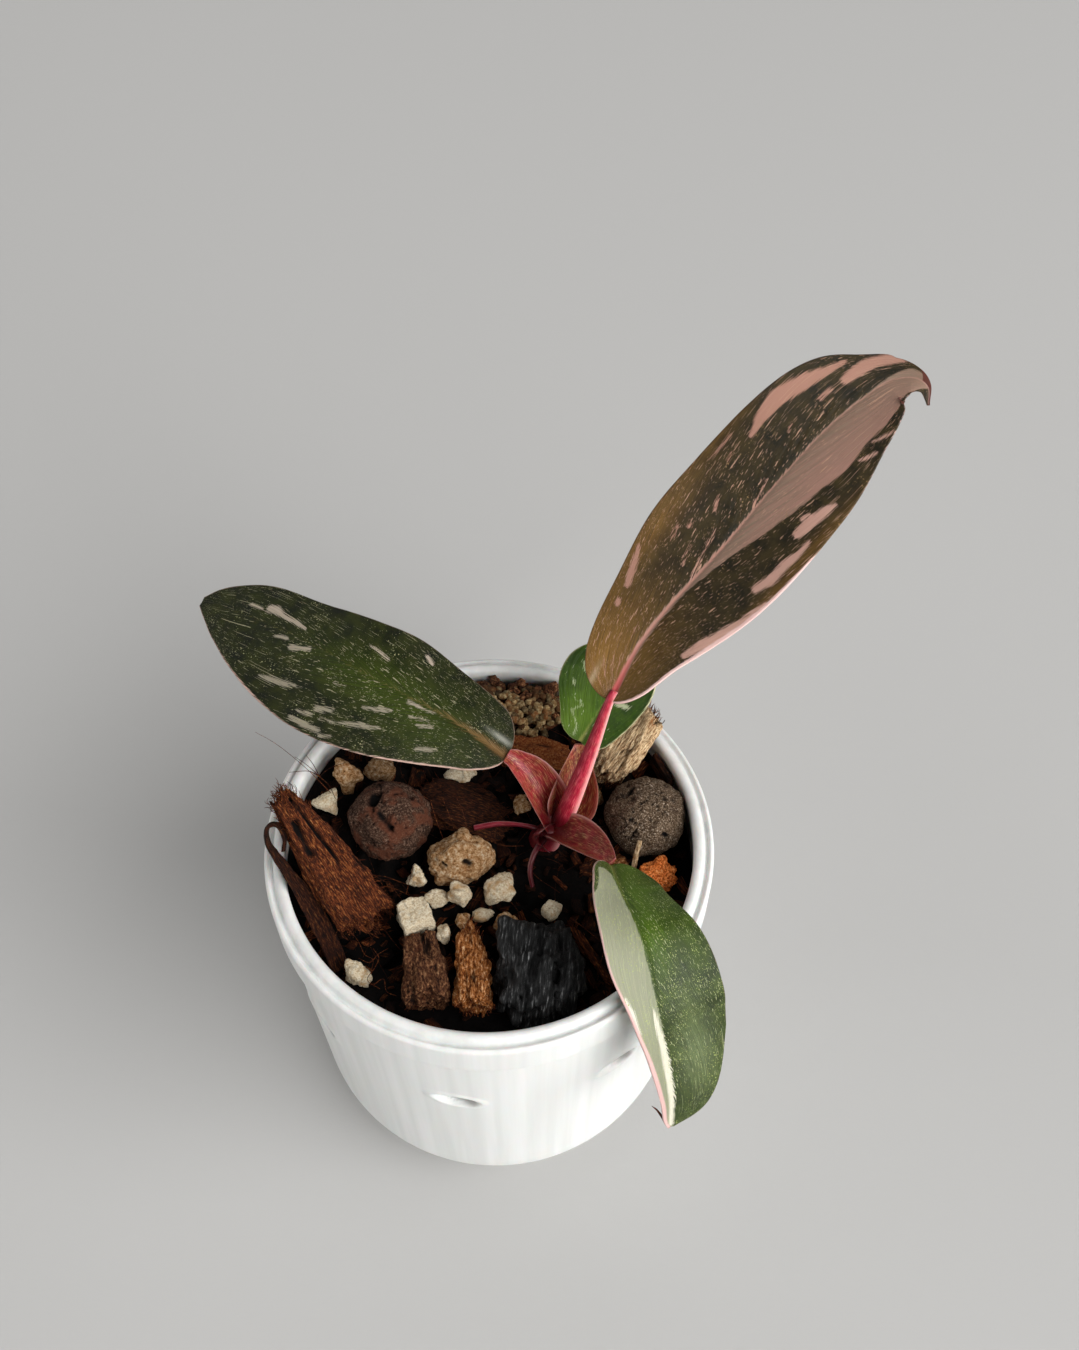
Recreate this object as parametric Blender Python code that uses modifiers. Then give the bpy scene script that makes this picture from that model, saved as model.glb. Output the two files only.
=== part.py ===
"""Pink princess philodendron in a white moulded pot: four leaves on a short red stem,
growing in an airy mix of coir, bark, charcoal, clay balls and pumice.

The origin is the centre of the pot's flat base. Z is up and the front of the pot faces -Y.
"""

import math

import bmesh
import bpy
import numpy as np
from mathutils import Vector, noise

MM = 0.001
GAP = 0.3 * MM
SOCKET_GAP = 0.35 * MM

# Pot
POT_HEIGHT = 79 * MM
RIM_RADIUS = 40 * MM
LIP_RADIUS = 36.2 * MM
COLLAR_HEIGHT = 9 * MM
BODY_TOP_RADIUS = 39 * MM
BODY_FOOT_RADIUS = 37.5 * MM
FOOT_ROUNDING = 14 * MM
WALL = 1.6 * MM
FLOOR = 2.2 * MM
POT_STEPS = 40
SLOT_COUNT = 8
SLOT_AZIMUTH = math.radians(-99)
SLOT_HEIGHT = 51 * MM
SLOT_SIZE = (9.6 * MM, 2.0 * MM, 3.4 * MM)
DRAIN_COUNT = 6
DRAIN_CIRCLE = 15 * MM
DRAIN_RADIUS = 2.5 * MM

# Potting mix
MIX_LEVEL = 71 * MM
MIX_RISE = 0.075
MIX_ROUGHNESS = 1.3 * MM
MIX_RINGS = 8
MIX_CALM_EDGE = 4 * MM
MIX_LEVEL_FROM = -16 * MM
CRUMB_COUNT = 22
CRUMB_RADIUS = (0.8, 1.6)
CRUMB_REACH = 33
CRUMB_STEM_CLEARANCE = 8

# Gravel heap, in mm
GRAVEL_CENTRE = (1.8, 29.6, 74.4)
GRAVEL_SIZE = (27.0, 11.6, 8.6)
GRAVEL_SHARE = 0.93
GRAIN_COUNT = 34
GRAIN_RADIUS = (1.0, 1.5)
GRAIN_SPACING = 0.8

# Plant
STEM_FOOT = (9.5, 5.0, 58.0)
STEM_TOP = (12.6, 4.6, 77.0)
BLADE_EDGE = 0.65 * MM
BLADE_MIDRIB = 1.7 * MM
BLADE_ROWS = 20
BLADE_COLUMNS = 8


def clear_scene():
    for obj in list(bpy.data.objects):
        bpy.data.objects.remove(obj)


def new_collection(name):
    made = bpy.data.collections.new(name)
    bpy.context.scene.collection.children.link(made)
    return made


def material(name, colour, roughness, metallic=0.0):
    """A Principled material from an sRGB hex colour."""
    made = bpy.data.materials.get(name) or bpy.data.materials.new(name)
    made.use_nodes = True
    shader = made.node_tree.nodes["Principled BSDF"]
    channels = [int(colour[i : i + 2], 16) / 255 for i in (0, 2, 4)]
    linear = [c / 12.92 if c <= 0.04045 else ((c + 0.055) / 1.055) ** 2.4 for c in channels]
    shader.inputs["Base Color"].default_value = (*linear, 1)
    shader.inputs["Roughness"].default_value = roughness
    shader.inputs["Metallic"].default_value = metallic
    return made


def white_plastic():
    return material("white_plastic", "E6E6E2", 0.35)


def coir_mix():
    return material("coir_mix", "2A1C14", 0.95)


def red_stem():
    return material("red_stem", "8A2833", 0.4)


def bronze_leaf():
    return material("bronze_leaf", "4B4527", 0.35)


def dark_green_leaf():
    return material("dark_green_leaf", "37442A", 0.35)


def fresh_green_leaf():
    return material("fresh_green_leaf", "3E6124", 0.35)


def fired_clay():
    return material("fired_clay", "4E3D33", 0.9)


def bark():
    return material("bark", "5B3A22", 0.9)


def charcoal():
    return material("charcoal", "141415", 0.7)


def pumice():
    return material("pumice", "C9BCA0", 0.95)


def place(name, mesh, finish, home, location=(0, 0, 0), turn=(0, 0, 0)):
    """Puts a mesh into the scene as one named object, turned by degrees about X, Y and Z."""
    obj = bpy.data.objects.new(name, mesh)
    obj.location = location
    obj.rotation_euler = [math.radians(angle) for angle in turn]
    if finish:
        mesh.materials.append(finish)
    home.objects.link(obj)
    return obj


def as_cutter(obj):
    obj.hide_render = True
    obj.display_type = "WIRE"
    return obj


def mesh_of(bm, name, smooth=True):
    mesh = bpy.data.meshes.new(name)
    bmesh.ops.recalc_face_normals(bm, faces=bm.faces)
    bm.to_mesh(mesh)
    bm.free()
    if smooth:
        mesh.shade_smooth()
    return mesh


def apply_modifiers(obj):
    """Replaces the object's mesh by what its modifiers make of it."""
    bpy.context.view_layer.update()
    evaluated = obj.evaluated_get(bpy.context.evaluated_depsgraph_get())
    made = bpy.data.meshes.new_from_object(evaluated)
    obj.modifiers.clear()
    obj.data = made
    return obj


def drop_scraps(obj):
    """Keeps the largest connected piece of a mesh, and drops the crumbs a cut left loose."""
    bm = bmesh.new()
    bm.from_mesh(obj.data)
    left = set(bm.verts)
    pieces = []
    while left:
        piece = {left.pop()}
        edge = set(piece)
        while edge:
            edge = {end for vert in edge for link in vert.link_edges for end in link.verts} - piece
            piece |= edge
        left -= piece
        pieces.append(piece)
    largest = max(pieces, key=len)
    bmesh.ops.delete(bm, geom=[vert for vert in bm.verts if vert not in largest], context="VERTS")
    bm.to_mesh(obj.data)
    bm.free()


def combine(obj, others, operation):
    """Joins the objects of a collection to obj, or cuts them from it, and removes them."""
    boolean = obj.modifiers.new(operation.lower(), "BOOLEAN")
    boolean.operation = operation
    boolean.operand_type = "COLLECTION"
    boolean.collection = others
    boolean.solver = "EXACT"
    apply_modifiers(obj)
    for used in list(others.objects):
        bpy.data.objects.remove(used)
    bpy.data.collections.remove(others)
    return obj


def turned(name, profile, finish, home):
    """A solid of revolution about Z: a profile from axis to axis, carried round by Screw."""
    mesh = bpy.data.meshes.new(name)
    points = [(radius, 0, height) for radius, height in profile]
    mesh.from_pydata(points, [(i, i + 1) for i in range(len(points) - 1)], [])
    obj = place(name, mesh, finish, home)
    screw = obj.modifiers.new("turn", "SCREW")
    screw.steps = POT_STEPS
    screw.render_steps = POT_STEPS
    screw.use_merge_vertices = True
    screw.merge_threshold = 0.00001
    return apply_modifiers(obj)


def arc(centre, radius, start, end, count):
    """Points of an arc in the profile's plane, angles in degrees."""
    angles = np.radians(np.linspace(start, end, count))
    return [(centre[0] + radius * math.cos(a), centre[1] + radius * math.sin(a)) for a in angles]


def inner_wall(inset=0.0):
    """The pot's inside from the floor's centre up to the lip, moved inwards by inset."""
    rounding = FOOT_ROUNDING - WALL
    foot = BODY_FOOT_RADIUS - WALL - inset
    centre = (foot - rounding + inset, FLOOR + rounding)
    return [
        (0, FLOOR + inset),
        *arc(centre, rounding - inset, -90, 0, 5),
        (BODY_TOP_RADIUS - WALL - inset, POT_HEIGHT - COLLAR_HEIGHT + 4 * MM),
    ]


def make_pot(home):
    """The pot's wall, rolled lip, grooved rim and collar, with blind slots and drain holes."""
    top = POT_HEIGHT
    collar_foot = top - COLLAR_HEIGHT
    rim = [
        (LIP_RADIUS, top - 2.4 * MM),
        (LIP_RADIUS, top - 0.8 * MM),
        (LIP_RADIUS + 0.7 * MM, top),
        (LIP_RADIUS + 1.4 * MM, top - 0.1 * MM),
        (LIP_RADIUS + 2.0 * MM, top - 0.9 * MM),
        (RIM_RADIUS - 0.9 * MM, top - 0.8 * MM),
        (RIM_RADIUS, top - 1.6 * MM),
        (RIM_RADIUS, collar_foot + 0.9 * MM),
        (RIM_RADIUS - 0.4 * MM, collar_foot + 0.1 * MM),
        (BODY_TOP_RADIUS, collar_foot - 0.2 * MM),
    ]
    foot_centre = (BODY_FOOT_RADIUS - FOOT_ROUNDING, FOOT_ROUNDING)
    foot = [*arc(foot_centre, FOOT_ROUNDING, 0, -90, 6), (0, 0)]
    pot = turned("pot", [*inner_wall(), *rim, *foot], white_plastic(), home)

    cutters = new_collection("pot_cutters")
    for index in range(SLOT_COUNT):
        azimuth = SLOT_AZIMUTH + 2 * math.pi * index / SLOT_COUNT
        slot = bmesh.new()
        bmesh.ops.create_uvsphere(slot, u_segments=10, v_segments=6, radius=0.5)
        bmesh.ops.scale(slot, vec=SLOT_SIZE, verts=slot.verts)
        out = BODY_FOOT_RADIUS + 1.35 * MM
        spot = (out * math.cos(azimuth), out * math.sin(azimuth), SLOT_HEIGHT)
        turn = (0, 0, math.degrees(azimuth) + 90)
        as_cutter(place(f"slot_{index}", mesh_of(slot, "slot"), None, cutters, spot, turn))
    for index in range(DRAIN_COUNT):
        azimuth = 2 * math.pi * index / DRAIN_COUNT
        drain = bmesh.new()
        bmesh.ops.create_cone(
            drain,
            cap_ends=True,
            segments=10,
            radius1=DRAIN_RADIUS,
            radius2=DRAIN_RADIUS,
            depth=4 * FLOOR,
        )
        spot = (DRAIN_CIRCLE * math.cos(azimuth), DRAIN_CIRCLE * math.sin(azimuth), 0)
        as_cutter(place(f"drain_{index}", mesh_of(drain, "drain"), None, cutters, spot))
    combine(pot, cutters, "DIFFERENCE")
    pot.data.shade_smooth()
    pot.data.set_sharp_from_angle(angle=math.radians(40))


def mix_height(x, y):
    """The potting mix's level: it rises to the back and is broken up by noise."""
    rise = MIX_RISE * max(y, MIX_LEVEL_FROM)
    rough = noise.noise(Vector((x, y, 0)) / (5 * MM)) + 0.5 * noise.noise(Vector((x, y, 1)) / (2.3 * MM))
    return MIX_LEVEL + rise + MIX_ROUGHNESS * rough


def lump(size, seed, boxy=0.0, rough=0.1, cuts=2, grow=0.0, bend=0.0, taper=0.0):
    """A stone or a chip of bark: a cut-up cube drawn towards a ball, then broken up by noise.

    boxy keeps the cube's corners, bend curves the long X side up at both ends and taper
    narrows its +X end. grow makes the same shape larger all round, for the socket it lies in.
    """
    bm = bmesh.new()
    bmesh.ops.create_cube(bm, size=2)
    bmesh.ops.subdivide_edges(bm, edges=bm.edges, cuts=cuts, use_grid_fill=True)
    half = [0.5 * side * MM + grow for side in size]
    for vert in bm.verts:
        cube = vert.co.copy()
        ball = cube.normalized()
        shape = ball.lerp(cube * 0.82, boxy)
        shape *= 1 + rough * noise.noise(ball * 2.1 + Vector((seed, 3.7 * seed, 0)))
        shape *= 1 + 0.5 * rough * noise.noise(ball * 5.3 + Vector((0, seed, 1.9 * seed)))
        narrow = 1 - taper * (0.5 + 0.5 * shape.x)
        height = shape.z * narrow + bend * (shape.x * shape.x - 0.4)
        vert.co = (shape.x * half[0], shape.y * narrow * half[1], height * half[2])
    bmesh.ops.triangulate(bm, faces=bm.faces)
    return mesh_of(bm, "lump")


def add_lump(row, finish, home, sockets):
    """One loose piece of the mix, and the cutter of the socket that it lies in."""
    name, centre, size, turn, seed, boxy, rough, cuts, bend, taper = row
    spot = [value * MM for value in centre]
    made = lump(size, seed, boxy, rough, cuts, 0.0, bend, taper)
    place(name, made, finish, home, spot, turn)
    larger = lump(size, seed, boxy, rough, cuts, SOCKET_GAP, bend, taper)
    as_cutter(place(name + "_socket", larger, None, sockets, spot, turn))


# Loose pieces of the mix: name, centre and size in mm, turn in degrees, seed, boxy, rough,
# cuts, bend and taper.
CLAY_BALLS = (
    ("clay_ball_left", (-18.5, 6.0, 74.0), (14.6, 14.0, 14.2), (0, 0, 20), 3, 0.0, 0.07, 3, 0, 0),
    ("clay_ball_right", (28.4, 6.4, 74.2), (14.2, 14.6, 14.2), (0, 0, 50), 8, 0.0, 0.06, 3, 0, 0),
)
BARK_PIECES = (
    ("bark_tall", (-28.7, -5.0, 80.9), (30.0, 8.6, 4.6), (0, 38, -45), 5, 0.85, 0.2, 4, 0.2, -0.55),
    ("bark_back", (8.0, 19.4, 74.8), (14.0, 6.6, 5.5), (0, 6, -8), 9, 0.7, 0.3, 3, 0, 0.2),
    ("bark_right", (24.8, 18.8, 79.6), (17.4, 9.6, 6.0), (0, -38, 42), 12, 0.6, 0.2, 3, 0, 0.2),
    ("bark_strip", (31.6, 15.6, 75.2), (8.0, 1.8, 6.0), (0, 0, 117), 14, 0.8, 0.15, 2, 0, 0.3),
    ("bark_chip_front", (-10.9, -22.5, 72.4), (14.5, 9.4, 8.0), (0, 8, 98), 17, 0.85, 0.2, 3, 0, 0.35),
    ("bark_chunk_fibrous", (-2.7, -22.8, 71.9), (15.4, 7.2, 6.4), (0, 6, 94), 21, 0.3, 0.3, 3, 0, 0.2),
    ("bark_sliver", (18.1, -19.7, 71.0), (13.0, 2.2, 2.0), (0, 0, -58), 25, 0.6, 0.25, 2, 0.4, 0.3),
    ("husk_flake", (-5.4, 9.0, 73.0), (14.0, 8.4, 4.4), (0, 10, -12), 27, 0.3, 0.12, 3, 0, 0),
    ("bark_crumb_orange", (29.8, -4.6, 71.6), (6.4, 5.0, 4.4), (0, 0, 0), 28, 0.2, 0.4, 2, 0, 0),
    ("bark_crumb_red", (22.6, -2.4, 71.4), (4.6, 4.0, 4.0), (0, 0, 30), 30, 0.3, 0.35, 2, 0, 0),
)
CURL_PATH = (
    (-26.8, -21.8, 70.2),
    (-29.6, -15.8, 75.6),
    (-32.6, -10.9, 81.2),
    (-36.4, -6.4, 84.2),
    (-38.2, -4.4, 84.8),
)
CURL_FACE = Vector((0.5, -0.3, 0.8))
CURL_WIDTH = 3.2
CURL_HOLLOW = 0.3
CURL_THICKNESS = 1.0
CURL_ROWS = 10
STRAW_PATH = ((25.8, -3.4, 70.0), (26.2, -2.0, 74.4), (26.8, -0.6, 77.6))
CHARCOAL = ("charcoal_lump", (8.4, -23.2, 72.0), (15.0, 17.0, 12.0), (6, 0, -4), 33, 0.75, 0.16, 4, 0, 0)
PUMICE = (
    ("pumice_large", (-5.3, -1.6, 73.6), (11.8, 8.6, 8.0), (0, 0, 12), 41, 0.15, 0.14, 3, 0, 0),
    ("pumice_white_block", (-12.9, -13.2, 73.2), (6.2, 6.2, 6.0), (0, 0, 25), 42, 0.7, 0.16, 2, 0, 0),
    ("pumice_01", (-12.9, -5.2, 72.2), (3.8, 3.6, 3.8), (0, 0, 0), 43, 0.1, 0.3, 2, 0, 0),
    ("pumice_02", (-9.6, -8.2, 72.4), (3.8, 4.0, 4.2), (0, 0, 0), 44, 0.1, 0.3, 2, 0, 0),
    ("pumice_03", (-5.3, -9.1, 73.0), (4.6, 4.4, 4.6), (0, 0, 0), 45, 0.2, 0.22, 2, 0, 0),
    ("pumice_04", (1.6, -7.6, 73.0), (6.0, 5.6, 5.6), (0, 0, 0), 46, 0.2, 0.28, 2, 0, 0),
    ("pumice_05", (-4.9, -13.1, 71.6), (3.4, 3.4, 3.6), (0, 0, 0), 47, 0.3, 0.2, 2, 0, 0),
    ("pumice_06", (-7.6, -15.4, 71.6), (3.2, 3.2, 3.6), (0, 0, 0), 48, 0.3, 0.25, 2, 0, 0),
    ("pumice_07", (-1.2, -11.9, 71.6), (4.2, 3.4, 3.6), (0, 0, 0), 49, 0.2, 0.25, 2, 0, 0),
    ("pumice_08", (3.2, -13.4, 71.2), (4.6, 3.2, 4.0), (0, 0, 0), 50, 0.2, 0.25, 2, 0, 0),
    ("pumice_09", (10.8, -11.2, 71.6), (5.0, 4.4, 3.8), (0, 0, 0), 51, 0.4, 0.2, 2, 0, 0),
    ("pumice_10", (-22.7, -22.8, 71.4), (5.4, 4.8, 4.2), (0, 0, 0), 52, 0.1, 0.3, 2, 0, 0),
    ("pumice_11", (-26.8, 14.6, 75.4), (5.0, 5.0, 7.2), (0, 0, 0), 53, 0.1, 0.2, 2, 0, 0),
    ("pumice_12", (-30.4, 9.6, 74.6), (4.6, 4.6, 5.0), (0, 0, 0), 54, 0.1, 0.2, 2, 0, 0),
    ("pumice_13", (-20.2, 16.4, 75.0), (6.6, 5.0, 5.0), (0, 0, 0), 55, 0.1, 0.2, 2, 0, 0),
    ("pumice_14", (-4.4, 16.4, 74.6), (9.6, 5.0, 5.0), (0, 0, -6), 56, 0.1, 0.2, 2, 0, 0),
    ("pumice_15", (18.4, 11.8, 73.4), (4.6, 4.0, 6.4), (0, 0, 0), 57, 0.1, 0.2, 2, 0, 0),
    ("pumice_16", (5.0, 9.6, 73.4), (4.6, 4.4, 4.6), (0, 0, 0), 58, 0.1, 0.2, 2, 0, 0),
)


def make_curl(home, sockets):
    """The thin curled bark by the wall: a strip carried along a path, thickened by Solidify."""
    for name, grow in (("bark_curl", 0.0), ("bark_curl_socket", SOCKET_GAP / MM)):
        bm = bmesh.new()
        bmesh.ops.create_grid(bm, x_segments=CURL_ROWS, y_segments=2, size=0.5)
        centre, along = smooth_path(CURL_PATH, np.linspace(0, 1, CURL_ROWS + 1))
        centre[0] -= along[0] * grow
        for vert in bm.verts:
            row = round((vert.co.x + 0.5) * CURL_ROWS)
            tangent = Vector(along[row])
            side = tangent.cross(CURL_FACE).normalized()
            face = side.cross(tangent)
            width = CURL_WIDTH + 2 * grow
            hollow = CURL_WIDTH * CURL_HOLLOW * (2 * vert.co.y) ** 2
            vert.co = (Vector(centre[row]) + side * vert.co.y * width + face * hollow) * MM
        bmesh.ops.triangulate(bm, faces=bm.faces)
        finish, where = (None, sockets) if grow else (bark(), home)
        curl = place(name, mesh_of(bm, name), finish, where)
        shell = curl.modifiers.new("thickness", "SOLIDIFY")
        shell.thickness = (CURL_THICKNESS + 2 * grow) * MM
        shell.offset = 0
        apply_modifiers(curl)
        if grow:
            as_cutter(curl)


def make_straw(home, sockets):
    """The stub of straw that stands between the right clay ball and the drooping leaf."""
    for name, grow in (("straw_stub", 0.0), ("straw_stub_socket", SOCKET_GAP / MM)):
        section = round_section(0.5)
        tube = loft(STRAW_PATH, (section, section), (0, 1, 0), 6, 2, grow)
        if grow:
            as_cutter(place(name, tube, None, sockets))
        else:
            place(name, tube, bark(), home)


def curve_at(points, at):
    """Places and directions on a Catmull-Rom curve through points, at counts of its spans."""
    points = np.array(points, float)
    ends = np.vstack([2 * points[0] - points[1], points, 2 * points[-1] - points[-2]])
    index = np.clip(at.astype(int), 0, len(points) - 2)
    t = (at - index)[:, None]
    a, b, c, d = (ends[index + k] for k in range(4))
    square = 2 * a - 5 * b + 4 * c - d
    cube = 3 * b - a - 3 * c + d
    place_on = 0.5 * (2 * b + (c - a) * t + square * t**2 + cube * t**3)
    along = 0.5 * ((c - a) + 2 * square * t + 3 * cube * t**2)
    return place_on, along / np.linalg.norm(along, axis=1)[:, None]


def smooth_path(points, shares):
    """Places and directions on the curve at shares, 0 to 1, of its length."""
    fine = np.linspace(0, len(points) - 1, 40 * len(points))
    steps = np.linalg.norm(np.diff(curve_at(points, fine)[0], axis=0), axis=1)
    run = np.concatenate([[0], np.cumsum(steps)])
    return curve_at(points, np.interp(np.asarray(shares) * run[-1], run, fine))


def eased(stations, values, where):
    """Values at hand-set stations, joined without corners."""
    return np.interp(where, stations, values) * 0.5 + 0.25 * (
        np.interp(np.clip(where - 0.03, 0, 1), stations, values)
        + np.interp(np.clip(where + 0.03, 0, 1), stations, values)
    )


# Half-widths of a blade are given at these shares of its length.
BLADE_STATIONS = (0.0, 0.05, 0.1, 0.2, 0.35, 0.5, 0.65, 0.8, 0.9, 0.96, 1.0)


class Blade:
    """One leaf blade. midrib is in mm, faces is the way its upper face looks, left and right
    are half-widths in mm, fold and cup lift the halves, wave is the amplitude of the edge in
    mm with its number of waves and phase, and lobe is how far the base reaches back in mm."""

    def __init__(self, name, finish, midrib, faces, left, right, fold, cup, wave, lobe):
        self.name = name
        self.finish = finish
        self.midrib = midrib
        self.faces = Vector(faces)
        self.halves = (right, left)
        self.fold = fold
        self.cup = cup
        self.wave = wave
        self.lobe = lobe

    def point(self, row, across, centre, along, share):
        tangent = Vector(along[row])
        face = (self.faces - tangent * self.faces.dot(tangent)).normalized()
        leftwards = face.cross(tangent).normalized()
        reach = self.widths[int(across > 0)][row] * abs(across)
        fold = math.radians(self.fold[int(across > 0)])
        amplitude, count, phase = self.wave
        ripple = amplitude * math.sin(math.pi * (count * share + phase + 0.5 * (across > 0)))
        edge = abs(across) ** 2.5
        near_tip = min(1.0, 6 * (1 - share)) * min(1.0, 8 * share)
        lift = reach * math.sin(fold) + self.cup * reach**2 + ripple * edge * near_tip
        back = self.lobe * abs(across) ** 1.5 * math.exp(-((share / 0.09) ** 2))
        sideways = math.copysign(reach * math.cos(fold), across)
        return Vector(centre[row]) + leftwards * sideways + face * lift - tangent * back

    def build(self, home):
        """A grid bent along the midrib, triangulated, and thickened away from its upper face."""
        shares = 0.5 - 0.5 * np.cos(np.pi * np.linspace(0, 1, BLADE_ROWS + 1))
        shares = 0.5 * shares + 0.5 * np.linspace(0, 1, BLADE_ROWS + 1)
        centre, along = smooth_path(self.midrib, shares)
        self.widths = [eased(BLADE_STATIONS, half, shares) for half in self.halves]
        bm = bmesh.new()
        bmesh.ops.create_grid(bm, x_segments=BLADE_ROWS, y_segments=BLADE_COLUMNS, size=0.5)
        thick = []
        for vert in bm.verts:
            row = round((vert.co.x + 0.5) * BLADE_ROWS)
            across = 2 * vert.co.y
            share = shares[row]
            vert.co = self.point(row, across, centre, along, share) * MM
            thick.append((1 - abs(across)) ** 3 * (1 - share) ** 0.7)
        bmesh.ops.triangulate(bm, faces=bm.faces)
        mesh = bpy.data.meshes.new(self.name)
        bm.to_mesh(mesh)
        bm.free()
        origin = Vector(centre[0]) * MM
        for vert in mesh.vertices:
            vert.co -= origin
        obj = place(self.name, mesh, self.finish, home, origin)
        rib = obj.vertex_groups.new(name="midrib")
        for index, weight in enumerate(thick):
            rib.add([index], weight, "REPLACE")
        shell = obj.modifiers.new("thickness", "SOLIDIFY")
        shell.thickness = BLADE_MIDRIB
        shell.offset = -1
        shell.vertex_group = rib.name
        shell.thickness_vertex_group = BLADE_EDGE / BLADE_MIDRIB
        apply_modifiers(obj)
        obj.data.shade_smooth()
        return obj


def blades():
    return (
        Blade(
            name="leaf_tall",
            finish=bronze_leaf(),
            midrib=(
                (20.9, 12.7, 102.4),
                (27.4, 22.8, 108),
                (40.6, 33.2, 119.5),
                (48.8, 40.6, 126),
                (57.6, 47.9, 132),
                (67.4, 54.1, 137),
                (72.0, 53.4, 138.6),
                (74.7, 52.0, 138),
                (74.0, 49.4, 134.6),
            ),
            faces=(-0.25, -0.35, 0.9),
            left=(0.8, 5.6, 8.0, 10.3, 12.9, 13.4, 12.7, 9.9, 3.6, 0.7, 0.35),
            right=(0.8, 5.8, 7.6, 10.5, 13.5, 14.3, 13.1, 9.0, 2.8, 0.7, 0.35),
            fold=(10, 10),
            cup=0.0,
            wave=(0.7, 5, 0.2),
            lobe=1.2,
        ),
        Blade(
            name="leaf_left",
            finish=dark_green_leaf(),
            midrib=(
                (3.0, 12.8, 85.0),
                (-6.2, 17.7, 89),
                (-22.6, 25, 94),
                (-31.1, 29.9, 95),
                (-43.2, 36.7, 95),
                (-54.0, 41.2, 94),
            ),
            faces=(0, -0.15, 1),
            left=(0.8, 5.2, 7.8, 11.2, 15.0, 16.3, 14.9, 11.2, 7.2, 3.6, 0.6),
            right=(0.8, 4.6, 6.8, 8.8, 10.4, 9.4, 8.2, 7.4, 4.8, 2.8, 0.6),
            fold=(8, 8),
            cup=0.0,
            wave=(0.6, 4, 0.6),
            lobe=1.4,
        ),
        Blade(
            name="leaf_right",
            finish=fresh_green_leaf(),
            midrib=(
                (21.3, -7.6, 82.2),
                (22.9, -14.5, 85),
                (25.7, -23.4, 86),
                (28.4, -32.9, 79),
                (30.1, -36.6, 71),
                (31.6, -40.5, 61),
                (31.7, -43.5, 53),
            ),
            faces=(0.35, -0.5, 0.75),
            left=(0.8, 5.6, 6.3, 7.6, 10.6, 11.5, 11.4, 9.8, 7.2, 4.4, 0.6),
            right=(0.8, 3.6, 4.6, 6.8, 7.5, 5.6, 4.3, 3.1, 2.2, 1.6, 0.6),
            fold=(10, 10),
            cup=0.0,
            wave=(0.4, 4, 0.1),
            lobe=1.6,
        ),
        Blade(
            name="leaf_back",
            finish=fresh_green_leaf(),
            midrib=((16.3, 16.2, 84.4), (19.1, 18.9, 89), (22.4, 22.0, 94), (27.2, 26.3, 100)),
            faces=(-0.15, -0.5, 0.85),
            left=(0.8, 3.6, 4.8, 6.6, 8.6, 9.6, 9.4, 7.4, 4.6, 2.4, 0.6),
            right=(0.8, 3.4, 4.4, 5.6, 6.6, 7.2, 7.4, 6.6, 4.6, 2.4, 0.6),
            fold=(14, 14),
            cup=0.0,
            wave=(0.3, 3, 0.4),
            lobe=0.8,
        ),
    )


def loft(path, sections, up, sides=10, steps=9, grow=0.0):
    """A closed skin through sections along a path, for stems, roots and channelled petioles.

    A section is half-width, margin lift, lower depth and upper swell in mm. The outline is
    the ellipse of its width and depths, with the margins lifted by the square of their
    distance from the middle, so equal width and depths and no lift give a round stem.
    """
    where = np.linspace(0, 1, steps + 1)
    centre, along = smooth_path(path, where)
    centre[0] -= along[0] * grow
    centre[-1] += along[-1] * grow
    stations = np.linspace(0, 1, len(sections))
    shape = np.array([np.interp(where, stations, column) for column in zip(*sections)]).T
    bm = bmesh.new()
    rings = []
    for row in range(steps + 1):
        tangent = Vector(along[row])
        side = tangent.cross(Vector(up)).normalized()
        face = side.cross(tangent).normalized()
        width, lift, lower, upper = shape[row]
        ring = []
        for index in range(sides):
            angle = 2 * math.pi * index / sides
            rise = (upper if math.sin(angle) > 0 else lower) + grow
            height = rise * math.sin(angle) + lift * math.cos(angle) ** 2
            spot = Vector(centre[row]) + side * (width + grow) * math.cos(angle) + face * height
            ring.append(bm.verts.new(spot * MM))
        rings.append(ring)
    for first, second in zip(rings, rings[1:]):
        for index in range(sides):
            after = (index + 1) % sides
            bm.faces.new((first[index], first[after], second[after], second[index]))
    bm.faces.new(rings[0])
    bm.faces.new(rings[-1])
    bmesh.ops.triangulate(bm, faces=bm.faces)
    return mesh_of(bm, "loft")


def round_section(radius):
    return (radius, 0.0, radius, radius)


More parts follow.
